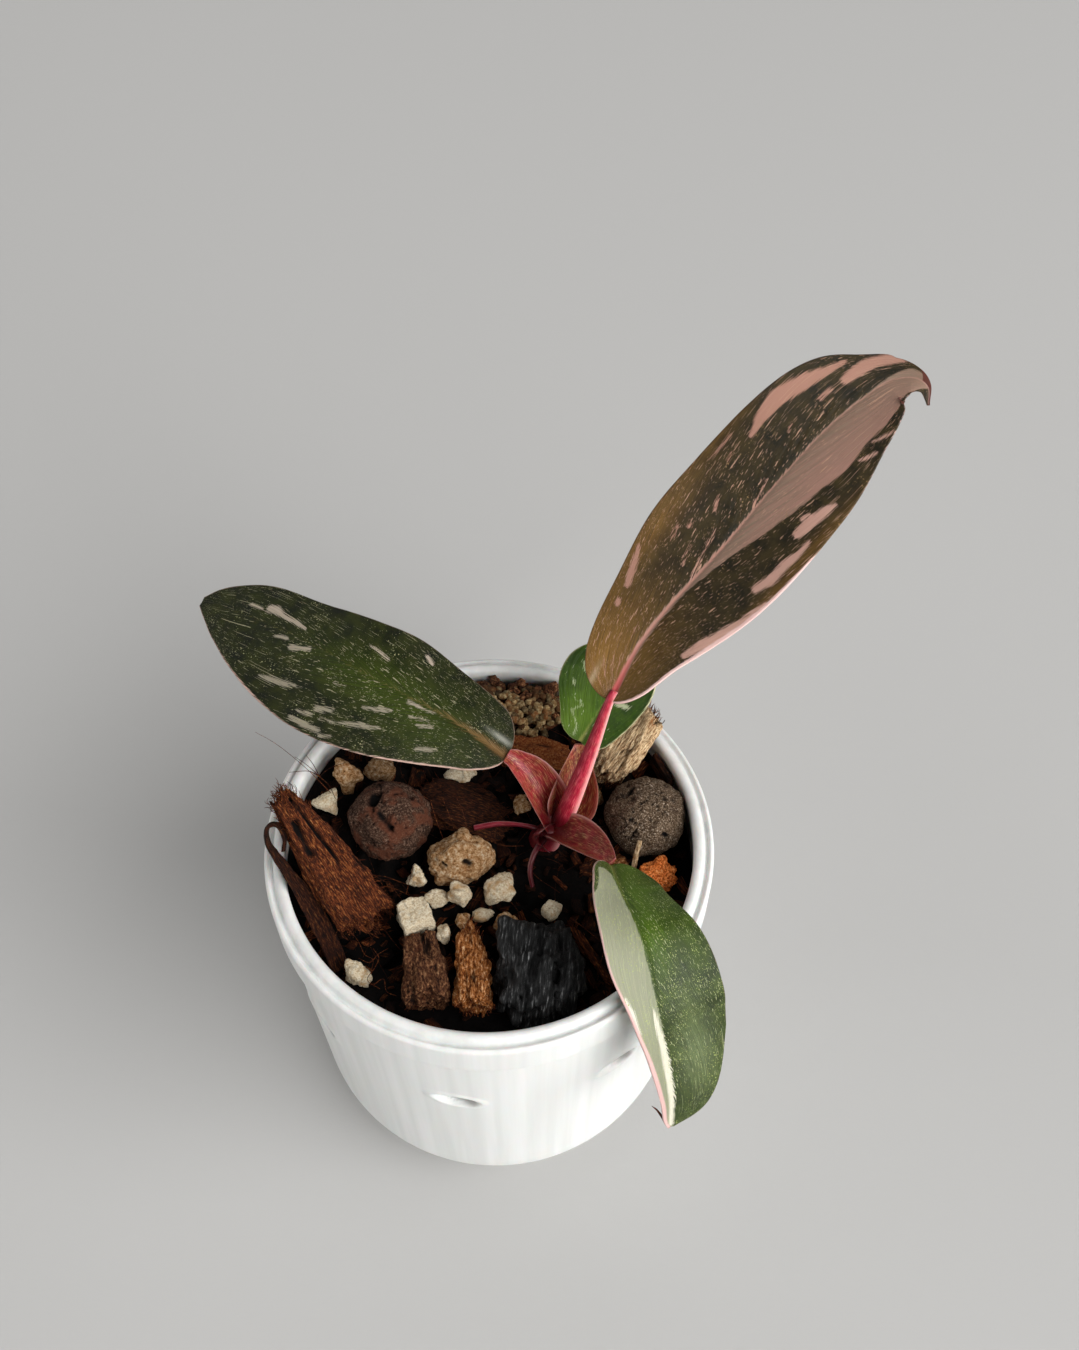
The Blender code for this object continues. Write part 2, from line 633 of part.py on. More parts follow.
STEM_PARTS = (
    (
        "petiole_tall",
        ((12.6, 5.6, 73), (14.6, 6.6, 79), (17.6, 9.4, 90), (20.5, 12.0, 101.2)),
        (round_section(2.1), round_section(2.0), round_section(1.6), round_section(1.35)),
        (0, -1, 0.3),
    ),
    (
        "petiole_left",
        ((12.0, 4.6, 73), (9.6, 8.6, 78.6), (6.2, 10.8, 82.2), (3.7, 12.2, 84.3)),
        ((2.4, 0.8, 1.6, 1.2), (3.6, 2.6, 1.5, 0.3), (3.1, 2.0, 1.3, 0.3), (1.0, 0.3, 1.0, 0.6)),
        (0.2, -0.35, 0.9),
    ),
    (
        "petiole_right",
        ((11.6, 3.6, 74), (14.6, -0.6, 78.4), (18.0, -3.8, 80.4), (20.4, -6.3, 81.4)),
        ((2.4, 0.8, 1.6, 1.2), (3.4, 2.0, 1.5, 0.3), (3.0, 1.6, 1.3, 0.3), (1.0, 0.3, 1.0, 0.6)),
        (0.1, -0.2, 1.0),
    ),
    (
        "petiole_back",
        ((13.0, 6.0, 72), (14.2, 9.4, 77.2), (15.3, 12.6, 80.8), (16.0, 15.0, 83.2)),
        ((2.4, 1.0, 1.6, 1.0), (3.6, 3.0, 1.4, 0.3), (2.6, 2.2, 1.2, 0.3), (0.9, 0.3, 0.9, 0.6)),
        (0.0, -0.6, 0.8),
    ),
    (
        "root_left",
        ((10.4, 3.4, 73.6), (6.6, 3.4, 75.4), (1.6, 3.8, 75.8), (-1.4, 3.6, 75.2)),
        (round_section(0.9), round_section(0.8), round_section(0.8), round_section(0.55)),
        (0, 0, 1),
    ),
    (
        "root_front",
        ((9.8, 2.4, 73.4), (8.4, -1.4, 74.4), (8.2, -4.2, 72.0), (9.4, -6.2, 68.4)),
        (round_section(0.8), round_section(0.75), round_section(0.7), round_section(0.55)),
        (0, 0, 1),
    ),
)
STEM_CROWN = (
    (STEM_FOOT, (9.8, 4.6, 66.0), (10.4, 4.2, 72.0), STEM_TOP),
    (round_section(2.0), round_section(2.8), round_section(3.4), round_section(1.8)),
    (0, -1, 0),
)


def make_stem(home, sockets):
    """The short red stem with its four petioles and two aerial roots, grown as one piece."""
    path, sections, up = STEM_CROWN
    stem = place("stem_with_petioles", loft(path, sections, up, 12, 8), red_stem(), home)
    grown = new_collection("stem_parts")
    for name, way, shape, face in STEM_PARTS:
        as_cutter(place(name, loft(way, shape, face), None, grown))
        larger = loft(way, shape, face, grow=SOCKET_GAP / MM)
        as_cutter(place(name + "_socket", larger, None, sockets))
    larger = loft(path, sections, up, 12, 8, SOCKET_GAP / MM)
    as_cutter(place("stem_socket", larger, None, sockets))
    combine(stem, grown, "UNION")
    stem.data.shade_smooth()


def make_gravel(home, sockets):
    """The heap of pale gravel at the back: a low mound with seeded grains grown into it."""
    mound = ("gravel_heap", GRAVEL_CENTRE, GRAVEL_SIZE, (0, 0, 2), 61, 0.1, 0.1, 2, 0, 0)
    add_lump(mound, pumice(), home, sockets)
    centre = np.array(GRAVEL_CENTRE)
    half = 0.5 * np.array(GRAVEL_SIZE)
    grains = new_collection("gravel_grains")
    random = np.random.default_rng(7)
    placed = []
    while len(placed) < GRAIN_COUNT:
        share = random.uniform(-1, 1, 2)
        radius = random.uniform(*GRAIN_RADIUS)
        spot = centre[:2] + share * half[:2]
        reach = np.hypot(*share)
        near = [math.dist(spot, at) - GRAIN_SPACING * (radius + other) for at, other in placed]
        if reach > GRAVEL_SHARE or min(near, default=0) < 0:
            continue
        height = centre[2] + GRAVEL_SHARE * half[2] * math.sqrt(1 - reach**2)
        bm = bmesh.new()
        bmesh.ops.create_icosphere(bm, subdivisions=1, radius=radius * MM)
        where = (spot[0] * MM, spot[1] * MM, height * MM)
        as_cutter(place(f"grain_{len(placed)}", mesh_of(bm, "grain"), None, grains, where))
        placed.append((spot, radius))
    combine(home.objects["gravel_heap"], grains, "UNION")


def mix_crumbs():
    """Seeded crumbs of the mix, half sunk in its top, clear of the stones and chips."""
    crumbs = new_collection("crumbs")
    stones = [(row[1], row[2]) for row in (*CLAY_BALLS, *BARK_PIECES, CHARCOAL, *PUMICE)]
    random = np.random.default_rng(21)
    made = 0
    while made < CRUMB_COUNT:
        reach = CRUMB_REACH * math.sqrt(random.uniform())
        angle = random.uniform(0, 2 * math.pi)
        x, y = reach * math.cos(angle), reach * math.sin(angle)
        radius = random.uniform(*CRUMB_RADIUS)
        near = [math.hypot(x - at[0], y - at[1]) - 0.5 * max(size[:2]) for at, size in stones]
        stem = math.hypot(x - STEM_TOP[0], y - STEM_TOP[1])
        heap = math.hypot(
            2 * (x - GRAVEL_CENTRE[0]) / GRAVEL_SIZE[0],
            2 * (y - GRAVEL_CENTRE[1]) / GRAVEL_SIZE[1],
        )
        if min(near) < radius or stem < CRUMB_STEM_CLEARANCE or heap < 1.4:
            continue
        bm = bmesh.new()
        bmesh.ops.create_icosphere(bm, subdivisions=1, radius=radius * MM)
        spot = (x * MM, y * MM, mix_height(x * MM, y * MM) - 0.3 * MM)
        as_cutter(place(f"crumb_{made}", mesh_of(bm, "crumb"), None, crumbs, spot))
        made += 1
    return crumbs


def make_mix(home, sockets):
    """The potting mix that fills the pot: its top broken up, with crumbs grown into it."""
    edge = BODY_TOP_RADIUS - WALL - GAP
    rings = [edge * (ring / MIX_RINGS) for ring in range(MIX_RINGS)]
    top = [(radius, MIX_LEVEL) for radius in rings]
    side = inner_wall(GAP)
    side[-1] = (edge - 0.05 * MM, MIX_LEVEL)
    mix = turned("potting_mix", [*top, *reversed(side)], coir_mix(), home)
    for vert in mix.data.vertices:
        if vert.co.z > MIX_LEVEL - 0.5 * MM:
            reach = math.hypot(vert.co.x, vert.co.y)
            calm = min(1.0, (edge - reach) / MIX_CALM_EDGE)
            rough = mix_height(vert.co.x, vert.co.y) * calm + (1 - calm) * MIX_LEVEL
            vert.co.z = max(MIX_LEVEL + MIX_RISE * vert.co.y, rough) - 0.5 * MM
    combine(mix, mix_crumbs(), "UNION")
    combine(mix, sockets, "DIFFERENCE")
    drop_scraps(mix)
    mix.data.shade_smooth()
    mix.data.set_sharp_from_angle(angle=math.radians(50))


def main():
    clear_scene()
    home = new_collection("pink_princess_philodendron")
    sockets = new_collection("sockets")
    make_pot(home)
    for row in CLAY_BALLS:
        add_lump(row, fired_clay(), home, sockets)
    for row in BARK_PIECES:
        add_lump(row, bark(), home, sockets)
    add_lump(CHARCOAL, charcoal(), home, sockets)
    for row in PUMICE:
        add_lump(row, pumice(), home, sockets)
    make_curl(home, sockets)
    make_straw(home, sockets)
    make_gravel(home, sockets)
    make_stem(home, sockets)
    for blade in blades():
        blade.build(home)
    make_mix(home, sockets)


main()
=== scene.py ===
"""Pink princess philodendron in its pot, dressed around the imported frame.

Every piece is a surface worked out with numpy in millimetres and stored in metres, in the frame's own axes: the
origin is the centre of the pot's base, Z is up and the front of the pot faces -Y.
"""

import itertools
import math

import bpy
import numpy as np
from mathutils import Matrix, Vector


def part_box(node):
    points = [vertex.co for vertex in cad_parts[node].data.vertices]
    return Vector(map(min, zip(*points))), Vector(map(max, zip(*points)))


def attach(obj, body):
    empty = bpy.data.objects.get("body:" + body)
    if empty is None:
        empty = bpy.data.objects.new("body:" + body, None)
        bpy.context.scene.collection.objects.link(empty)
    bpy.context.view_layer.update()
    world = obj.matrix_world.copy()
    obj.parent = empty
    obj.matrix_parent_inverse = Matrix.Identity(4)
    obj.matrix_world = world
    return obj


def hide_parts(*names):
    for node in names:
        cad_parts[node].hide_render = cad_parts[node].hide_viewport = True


bl_info = {
    "name": "Pink princess philodendron in its pot",
    "version": (1, 0, 0),
    "blender": (4, 5, 0),
    "location": "View3D > Sidebar > Plant",
    "description": "Builds the leaves, stem, pot and potting mix around the packed frame",
    "category": "Add Mesh",
}

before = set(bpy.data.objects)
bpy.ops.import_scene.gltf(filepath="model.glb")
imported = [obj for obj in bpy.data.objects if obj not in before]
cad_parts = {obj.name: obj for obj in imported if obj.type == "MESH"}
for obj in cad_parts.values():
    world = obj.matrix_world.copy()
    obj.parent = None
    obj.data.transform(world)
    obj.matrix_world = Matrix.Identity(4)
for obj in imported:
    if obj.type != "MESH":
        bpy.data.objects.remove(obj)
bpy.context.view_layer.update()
MM = 0.001


# ---- Shapes


def unit(vectors):
    """Vectors divided by their lengths."""
    return vectors / np.maximum(np.linalg.norm(vectors, axis=-1, keepdims=True), 1e-9)


def step(low, high, value):
    """0 below low, 1 above high and 3t^2 - 2t^3 between them."""
    share = np.clip((value - low) / (high - low), 0, 1)
    return share * share * (3 - 2 * share)


def lattice(cell, seed):
    """A repeatable number from 0 to 1 for each whole-number cell, by multiplying and folding its bits."""
    x, y, z = (cell[..., axis].astype(np.int64) for axis in range(3))
    bits = (x * 73856093) ^ (y * 19349663) ^ (z * 83492791) ^ ((seed + 1) * 668265263)
    for prime, fold in ((2246822519, 15), (3266489917, 13)):
        bits = ((bits ^ (bits >> fold)) * prime) & 0xFFFFFFFF
    return (bits ^ (bits >> 16)) / 0xFFFFFFFF


def rough(points, size, seed=0, octaves=3):
    """Smooth noise from -1 to 1: the numbers of a lattice of the given size in mm, joined by
    3t^2 - 2t^3, with each octave half as large and half as strong as the one before."""
    total = 0.0
    for octave in range(octaves):
        at = points / size * 2**octave + 19.7 * octave + 3.1 * seed
        cell = np.floor(at).astype(np.int64)
        share = step(0, 1, at - cell)
        level = 0.0
        for corner in np.ndindex(2, 2, 2):
            level = level + np.prod(np.where(corner, share, 1 - share), axis=-1) * lattice(cell + corner, seed)
        total = total + (2 * level - 1) / 2**octave
    return total / (2 - 0.5 ** (octaves - 1))


def pebbled(points, size, seed=0):
    """Distance to the nearest of one random point in each cube of the given size, as a share
    of that size, and that point's own random number."""
    at = points / size
    home = np.floor(at).astype(np.int64)
    nearest = np.full(at.shape[:-1], 9.0)
    number = np.zeros(at.shape[:-1])
    for corner in itertools.product((-1, 0, 1), repeat=3):
        cell = home + corner
        spot = cell + np.stack([lattice(cell, seed + axis) for axis in range(3)], -1)
        gap = np.linalg.norm(at - spot, axis=-1)
        closer = gap < nearest
        nearest = np.where(closer, gap, nearest)
        number = np.where(closer, lattice(cell, seed + 7), number)
    return nearest, number


def curve_at(points, at):
    """Places and directions on a Catmull-Rom curve through points, at counts of its spans."""
    points = np.array(points, float)
    ends = np.vstack([2 * points[0] - points[1], points, 2 * points[-1] - points[-2]])
    index = np.clip(at.astype(int), 0, len(points) - 2)
    t = (at - index)[:, None]
    a, b, c, d = (ends[index + k] for k in range(4))
    square = 2 * a - 5 * b + 4 * c - d
    cube = 3 * b - a - 3 * c + d
    return 0.5 * (2 * b + (c - a) * t + square * t**2 + cube * t**3), unit(
        (c - a) + 2 * square * t + 3 * cube * t**2
    )


def smooth_path(points, shares):
    """Places and directions at shares, 0 to 1, of the curve's length, and that length."""
    fine = np.linspace(0, len(points) - 1, 60 * len(points))
    steps = np.linalg.norm(np.diff(curve_at(points, fine)[0], axis=0), axis=1)
    run = np.concatenate([[0], np.cumsum(steps)])
    centre, along = curve_at(points, np.interp(shares * run[-1], run, fine))
    return centre, along, run[-1]


def mesh_of(name, points, faces, values=None):
    """A smooth-shaded mesh of points in mm. If the sum of the faces' corner tetrahedra is
    negative the faces are all turned round, so that they point outwards."""
    volume = 0.0
    for kind in faces:
        first = points[kind[:, 0]]
        for corner in range(1, kind.shape[1] - 1):
            wedge = np.cross(points[kind[:, corner]], points[kind[:, corner + 1]])
            volume += np.einsum("ij,ij->", first, wedge)
    turn = slice(None, None, -1 if volume < 0 else 1)
    mesh = bpy.data.meshes.new(name)
    mesh.from_pydata((points * MM).tolist(), [], [face for kind in faces for face in kind[:, turn].tolist()])
    for key, numbers in (values or {}).items():
        numbers = np.asarray(numbers, np.float32)
        vector = numbers.ndim == 2
        made = mesh.attributes.new(key, "FLOAT_VECTOR" if vector else "FLOAT", "POINT")
        made.data.foreach_set("vector" if vector else "value", numbers.ravel())
    mesh.shade_smooth()
    return mesh


def skin(rings, values=None):
    """Points, faces and values of tubes: rings[n, i, j] is point j of ring i of tube n. Each
    ring closes on itself, and each tube's two ends are drawn to a point at their middle."""
    single = rings.ndim == 3
    rings = rings[None] if single else rings
    count, rows, around = rings.shape[:3]
    ends = rings[:, (0, -1)].mean(2)
    points = np.concatenate([rings.reshape(count, -1, 3), ends], 1).reshape(-1, 3)
    row, column = np.meshgrid(np.arange(rows - 1), np.arange(around), indexing="ij")
    near = row * around + column
    far = row * around + (column + 1) % around
    quads = np.stack([near, far, far + around, near + around], -1).reshape(-1, 4)
    edge = np.arange(around)
    after = (edge + 1) % around
    first = rows * around
    start = np.stack([after, edge, np.full(around, first)], -1)
    finish = np.stack([edge + first - around, after + first - around, np.full(around, first + 1)], -1)
    offset = (np.arange(count) * (first + 2))[:, None, None]
    faces = [(quads + offset).reshape(-1, 4), (np.vstack([start, finish]) + offset).reshape(-1, 3)]
    spread = {}
    for key, numbers in (values or {}).items():
        numbers = np.asarray(numbers, float)
        numbers = numbers[None] if single else numbers
        tail = numbers.shape[3:]
        numbers = np.broadcast_to(numbers, (count, rows, around, *tail))
        flat = numbers.reshape(count, rows * around, *tail)
        spread[key] = np.concatenate([flat, numbers[:, (0, -1)].mean(2)], 1).reshape(-1, *tail)
    return points, faces, spread


def grid_quads(side):
    """The corners, in turn, of each cell of a square grid with side points along each edge."""
    index = np.arange(side * side).reshape(side, side)
    return np.stack([index[:-1, :-1], index[1:, :-1], index[1:, 1:], index[:-1, 1:]], -1).reshape(-1, 4)


def cube_net(cells):
    """The points and faces of a cube from -1 to 1: six square grids folded together, with
    grid lines at tan(pi t / 4) so that they are evenly spread once drawn out to a ball."""
    line = np.tan(np.pi / 4 * np.linspace(-1, 1, cells + 1))
    u, v = np.meshgrid(line, line, indexing="ij")
    quad = grid_quads(cells + 1)
    sheets = []
    faces = []
    for axis, side in itertools.product(range(3), (-1, 1)):
        sheet = np.roll(np.stack([np.full(u.shape, float(side)), u, v], -1), axis, -1)
        faces.append((quad if side > 0 else quad[:, ::-1]) + len(sheets) * u.size)
        sheets.append(sheet.reshape(-1, 3))
    points, inverse = np.unique(np.round(np.vstack(sheets), 9), axis=0, return_inverse=True)
    return points, inverse.reshape(-1)[np.vstack(faces)]


def lump(size, seed, boxy, uneven, cells, bend=0.0, taper=0.0, slant=0.0, facets=0):
    """A stone or a chip: a cube drawn towards a ball, broken up by two sizes of noise, with its
    +X end narrowed by taper, its long side bent up by the square of x and its ends cut at a
    slant, which moves x on by slant times y. With facets the ball is first cut by that many
    random planes n . p = d, softened: 1 / radius^6 = sum of max(n . direction / d, 0)^6. Sizes
    are in mm."""
    cube, faces = cube_net(cells)
    ball = unit(cube)
    shape = ball + (0.82 * cube - ball) * boxy
    if facets:
        random = np.random.default_rng(seed)
        planes = unit(random.normal(size=(facets, 3))) / random.uniform(0.6, 0.9, (facets, 1))
        shape = ball / (np.maximum(ball @ planes.T, 0) ** 6).sum(1, keepdims=True) ** (1 / 6)
        shape = shape / np.abs(shape).max(0)
    shape = shape * (1 + 0.8 * uneven * rough(ball * 1.7, 1.0, seed, 2))[:, None]
    shape = shape * (1 + 0.45 * uneven * rough(ball * 4.3, 1.0, seed + 5, 2))[:, None]
    narrow = 1 - taper * (0.5 + 0.5 * shape[:, 0])
    height = shape[:, 2] * narrow + bend * (shape[:, 0] ** 2 - 0.4)
    points = np.stack([shape[:, 0], shape[:, 1] * narrow, height], -1) * 0.5 * np.array(size)
    points[:, 0] += slant * points[:, 1]
    return points, faces


def outward(points, faces):
    """The unit normal at each point: the sum of the crossed diagonals of the faces that meet
    there."""
    cross = np.cross(points[faces[:, 2]] - points[faces[:, 0]], points[faces[:, 3]] - points[faces[:, 1]])
    total = np.zeros_like(points)
    for corner in range(4):
        np.add.at(total, faces[:, corner], cross)
    return unit(total)


def turned(points, degrees):
    """Points turned by angles about X, then Y, then Z."""
    for axis, angle in enumerate(np.radians(degrees)):
        one, two = (axis + 1) % 3, (axis + 2) % 3
        matrix = np.eye(3)
        matrix[one, one] = matrix[two, two] = math.cos(angle)
        matrix[two, one] = math.sin(angle)
        matrix[one, two] = -math.sin(angle)
        points = points @ matrix.T
    return points


def joined(parts):
    """Several shapes as one: points, faces and values, with the faces' numbers moved on."""
    points, quads, triangles, values = [], [], [], {}
    count = 0
    for spots, faces, numbers in parts:
        for kind in faces:
            (quads if kind.shape[1] == 4 else triangles).append(kind + count)
        for key, number in numbers.items():
            values.setdefault(key, []).append(number)
        points.append(spots)
        count += len(spots)
    faces = [np.vstack(kind) for kind in (quads, triangles) if kind]
    return np.vstack(points), faces, {key: np.concatenate(number) for key, number in values.items()}


def carried(path, sections, across, rows, around):
    """A profile carried along a path: at angle a it is w cos a to the side and
    d sin a + lift cos^2 a upwards, with d the depth below or the swell above. The side is the
    part of across, or of a curve through several of them, that is square to the path. Gives
    the rings, the length run at each ring, and the profile's own x and y."""
    share = np.linspace(0, 1, rows)
    centre, along, length = smooth_path(path, share)
    across = np.array(across, float)
    if across.ndim > 1:
        across = curve_at(across, share * (len(across) - 1))[0]
    side = unit(across - along * (along * across).sum(-1, keepdims=True))
    face = np.cross(side, along)
    width, lift, lower, upper = curve_at(sections, share * (len(sections) - 1))[0].T[..., None]
    angle = np.linspace(0, 2 * np.pi, around, endpoint=False)
    x = width * np.cos(angle)
    y = np.where(np.sin(angle) > 0, upper, lower) * np.sin(angle) + lift * np.cos(angle) ** 2
    rings = centre[:, None] + side[:, None] * x[..., None] + face[:, None] * y[..., None]
    return rings, share[:, None] * length + 0 * x, x, y


def piece(name, shape, material, slot, *nodes):
    """Puts a shape, its points, faces and values, in the scene as a piece that stands for nodes
    of the frame."""
    mesh = mesh_of(name, *shape)
    mesh.materials.append(material)
    made = bpy.data.objects.new(name, mesh)
    bpy.context.scene.collection.objects.link(made)
    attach(made, "root")
    if nodes:
        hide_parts(*nodes)
    return made


# ---- Materials


def linear(colour):
    """Linear red, green, blue and an alpha of 1 from an sRGB hex colour."""
    channels = [int(colour[i : i + 2], 16) / 255 for i in (0, 2, 4)]
    return (*[c / 12.92 if c <= 0.04045 else ((c + 0.055) / 1.055) ** 2.4 for c in channels], 1.0)


def socket_of(sockets, key):
    """The socket with this place, identifier or name."""
    return sockets[key] if isinstance(key, int) else next(s for s in sockets if key in (s.identifier, s.name))


def add(material, kind, inputs, output=0, stops=(), **settings):
    """Adds one node with its settings, and links its inputs to sockets or sets them to numbers,
    or to sRGB hex colours. Gives back one of its outputs."""
    node = material.node_tree.nodes.new("ShaderNode" + kind)
    for key, value in settings.items():
        setattr(node, key, value)
    for key, value in inputs.items():
        socket = socket_of(node.inputs, key)
        if isinstance(value, bpy.types.NodeSocket):
            material.node_tree.links.new(value, socket)
        else:
            socket.default_value = linear(value) if isinstance(value, str) else value
    for index, (place, colour) in enumerate(stops):
        ramp = node.color_ramp.elements
        stop = ramp[index] if index < len(ramp) else ramp.new(place)
        stop.position = place
        stop.color = linear(colour)
    return socket_of(node.outputs, output) if node.outputs else node


def new_material(name):
    """An empty material."""
    made = bpy.data.materials.new(name)
    made.use_nodes = True
    made.node_tree.nodes.clear()
    return made


def surface(material, inputs):
    """Ends a material in one Principled shader with these inputs."""
    add(material, "OutputMaterial", {"Surface": add(material, "BsdfPrincipled", inputs)})
    return material


COLOUR = {"data_type": "RGBA"}
TIMES = {"data_type": "RGBA", "blend_type": "MULTIPLY"}
MIXED = "Result_Color"


def white_polypropylene():
    """Injection-moulded white polypropylene: a satin skin that lets a little light into the
    wall, with faint upright flow marks 2.4 mm wide that vary its satin and relief and are also
    painted into its colour as faint upright bands of reflected light, a brown film on the inside
    that comes and goes over 2 mm, and painted shade in the slots."""
    made = new_material("white_polypropylene")
    place = add(made, "TexCoord", {}, "Object")
    flow = add(made, "VectorMath", {0: place, 1: (420.0, 420.0, 7.0)}, operation="MULTIPLY")
    marks = add(made, "TexNoise", {"Vector": flow, "Scale": 1.0, "Detail": 3.0})
    # The flow marks' tone is partly painted reflection: faint lighter and darker upright bands.
    tone = add(made, "ValToRGB", {"Fac": marks}, stops=((0.35, "DCDDDA"), (0.5, "E2E3E0"), (0.65, "E8E8E6")))
    film = add(made, "Attribute", {}, "Fac", attribute_name="film")
    dust = add(made, "TexNoise", {"Vector": place, "Scale": 500.0, "Detail": 3.0})
    dust = add(made, "Math", {0: dust, 1: film}, operation="MULTIPLY", use_clamp=True)
    colour = add(made, "Mix", {"Factor_Float": dust, "A_Color": tone, "B_Color": "9A8A76"}, MIXED, **COLOUR)
    # Painted shade: dark grey-brown laid into the slot recesses.
    shade = add(made, "Attribute", {}, "Fac", attribute_name="shade")
    colour = add(made, "Mix", {"Factor_Float": shade, "A_Color": colour, "B_Color": "4A4038"}, MIXED, **COLOUR)
    satin = add(made, "MapRange", {"Value": marks, "To Min": 0.28, "To Max": 0.48})
    bump = add(made, "Bump", {"Height": marks, "Strength": 0.08, "Distance": 0.0003}, "Normal")
    return surface(
        made,
        {
            "Base Color": colour,
            "Roughness": satin,
            "IOR": 1.49,
            "Subsurface Weight": 0.2,
            "Subsurface Scale": 0.0015,
            "Normal": bump,
        },
    )


def leaf_skin(name, look):
    """Waxy leaf tissue. It shows the main colour with darker mottling, glow where chlorophyll
    is thin, fine side veins, pale pin-pricks, dashes along the side veins, sectors and brushed
    patches without chlorophyll whose ends fray along the veins, the midrib, a different hem on
    each side, a painted grey sheen that stands in for light mirrored by the wax, and a duller
    underside."""
    made = new_material(name)
    veins = add(made, "Attribute", {}, "Vector", attribute_name="veins")
    blade_spot = add(made, "Attribute", {}, "Vector", attribute_name="blade")
    mark = {
        key: add(made, "Attribute", {}, "Fac", attribute_name=key)
        for key in ("pale", "sector", "hem", "rib", "glow", "painted_sheen", "under")
    }
    place = add(made, "SeparateXYZ", {"Vector": blade_spot}, "X")
    across = place.node.outputs["Y"]

    mottle = add(made, "TexNoise", {"Vector": blade_spot, "Scale": 0.3, "Detail": 6.0, "Roughness": 0.65})
    mottle = add(made, "MapRange", {"Value": mottle, "From Min": 0.38, "From Max": 0.62})
    colour = add(
        made, "Mix", {"Factor_Float": mottle, "A_Color": look["dark"], "B_Color": look["mid"]}, MIXED, **COLOUR
    )
    lines = add(made, "VectorMath", {0: veins, 1: (2.4, 0.14, 1.0)}, operation="MULTIPLY")
    lines = add(made, "TexNoise", {"Vector": lines, "Scale": 1.0, "Detail": 3.0, "Roughness": 0.6})
    patchy = add(made, "MapRange", {"Value": lines, "From Min": 0.35, "From Max": 0.65, "To Min": 0.35})
    warmth = add(made, "Math", {0: patchy, 1: mark["glow"]}, operation="MULTIPLY", use_clamp=True)
    colour = add(
        made, "Mix", {"Factor_Float": warmth, "A_Color": colour, "B_Color": look["glow"]}, MIXED, **COLOUR
    )
    shade = add(
        made, "MapRange", {"Value": lines, "From Min": 0.3, "From Max": 0.7, "To Min": 0.78, "To Max": 1.22}
    )
    colour = add(made, "Mix", {"Factor_Float": 1.0, "A_Color": colour, "B_Color": shade}, MIXED, **TIMES)

    density = add(made, "TexNoise", {"Vector": blade_spot, "Scale": 0.2, "Detail": 3.0})
    density = add(made, "MapRange", {"Value": density, "From Min": 0.35, "From Max": 0.65})
    pale_dots = 0.0
    for number, (coordinates, cell, size, share) in enumerate(look["specks"]):
        source = veins if coordinates == "veins" else blade_spot
        spots = add(made, "VectorMath", {0: source, 1: cell}, operation="MULTIPLY")
        gap = add(made, "TexVoronoi", {"Vector": spots, "Scale": 1.0}, "Distance", voronoi_dimensions="2D")
        chance = add(
            made, "SeparateColor", {"Color": gap.node.outputs["Color"]}, ("Red", "Green", "Blue")[number % 3]
        )
        chance = add(made, "Math", {0: density, 1: 0.25, 2: chance}, operation="MULTIPLY_ADD")
        reach = add(made, "MapRange", {"Value": chance, "From Min": 1.2 - share, "From Max": 1.3, "To Max": size})
        spot = add(made, "Math", {0: reach, 1: gap}, operation="SUBTRACT")
        spot = add(made, "MapRange", {"Value": spot, "From Min": 0.0, "From Max": 0.1})
        pale_dots = add(made, "Math", {0: spot, 1: pale_dots}, operation="MAXIMUM")

    wobble = add(made, "TexNoise", {"Vector": blade_spot, "Scale": 1.6, "Detail": 4.0}, "Color")
    wobble = add(made, "VectorMath", {0: wobble, 1: (0.9, 0.5, 0.0)}, operation="MULTIPLY")
    dashes = 0.0
    for cell, size, least in look["dashes"]:
        spots = add(made, "VectorMath", {0: veins, 1: cell, 2: wobble}, operation="MULTIPLY_ADD")
        gap = add(made, "TexVoronoi", {"Vector": spots, "Scale": 1.0}, "Distance", voronoi_dimensions="2D")
        chance = add(made, "SeparateColor", {"Color": gap.node.outputs["Color"]}, "Green")
        reach = add(made, "MapRange", {"Value": chance, "From Min": least, "From Max": 1.0, "To Max": size})
        dash = add(made, "Math", {0: reach, 1: gap}, operation="SUBTRACT")
        dash = add(made, "MapRange", {"Value": dash, "From Min": 0.0, "From Max": 0.06})
        dashes = add(made, "Math", {0: dash, 1: dashes}, operation="MAXIMUM")

    fray = add(made, "VectorMath", {0: veins, 1: (1.9, 0.4, 1.0)}, operation="MULTIPLY")
    fray = add(made, "TexNoise", {"Vector": fray, "Scale": 1.0, "Detail": 4.0, "Roughness": 0.6})
    fray = add(
        made, "MapRange", {"Value": fray, "From Min": 0.3, "From Max": 0.7, "To Min": -1.0, "To Max": 1.0}
    )
    blush = add(
        made, "MapRange", {"Value": lines, "From Min": 0.3, "From Max": 0.7, "To Min": -0.2, "To Max": 0.8}
    )
    blush = add(made, "Math", {0: across, 1: -0.06, 2: blush}, operation="MULTIPLY_ADD", use_clamp=True)
    for key, tear in (("sector", 0.3), ("pale", 0.5)):
        low, high = look[key]
        tissue = add(made, "Mix", {"Factor_Float": blush, "A_Color": low, "B_Color": high}, MIXED, **COLOUR)
        torn = add(made, "Math", {0: fray, 1: tear, 2: mark[key]}, operation="MULTIPLY_ADD")
        torn = add(made, "MapRange", {"Value": torn, "From Min": -0.04, "From Max": 0.04})
        colour = add(made, "Mix", {"Factor_Float": torn, "A_Color": colour, "B_Color": tissue}, MIXED, **COLOUR)

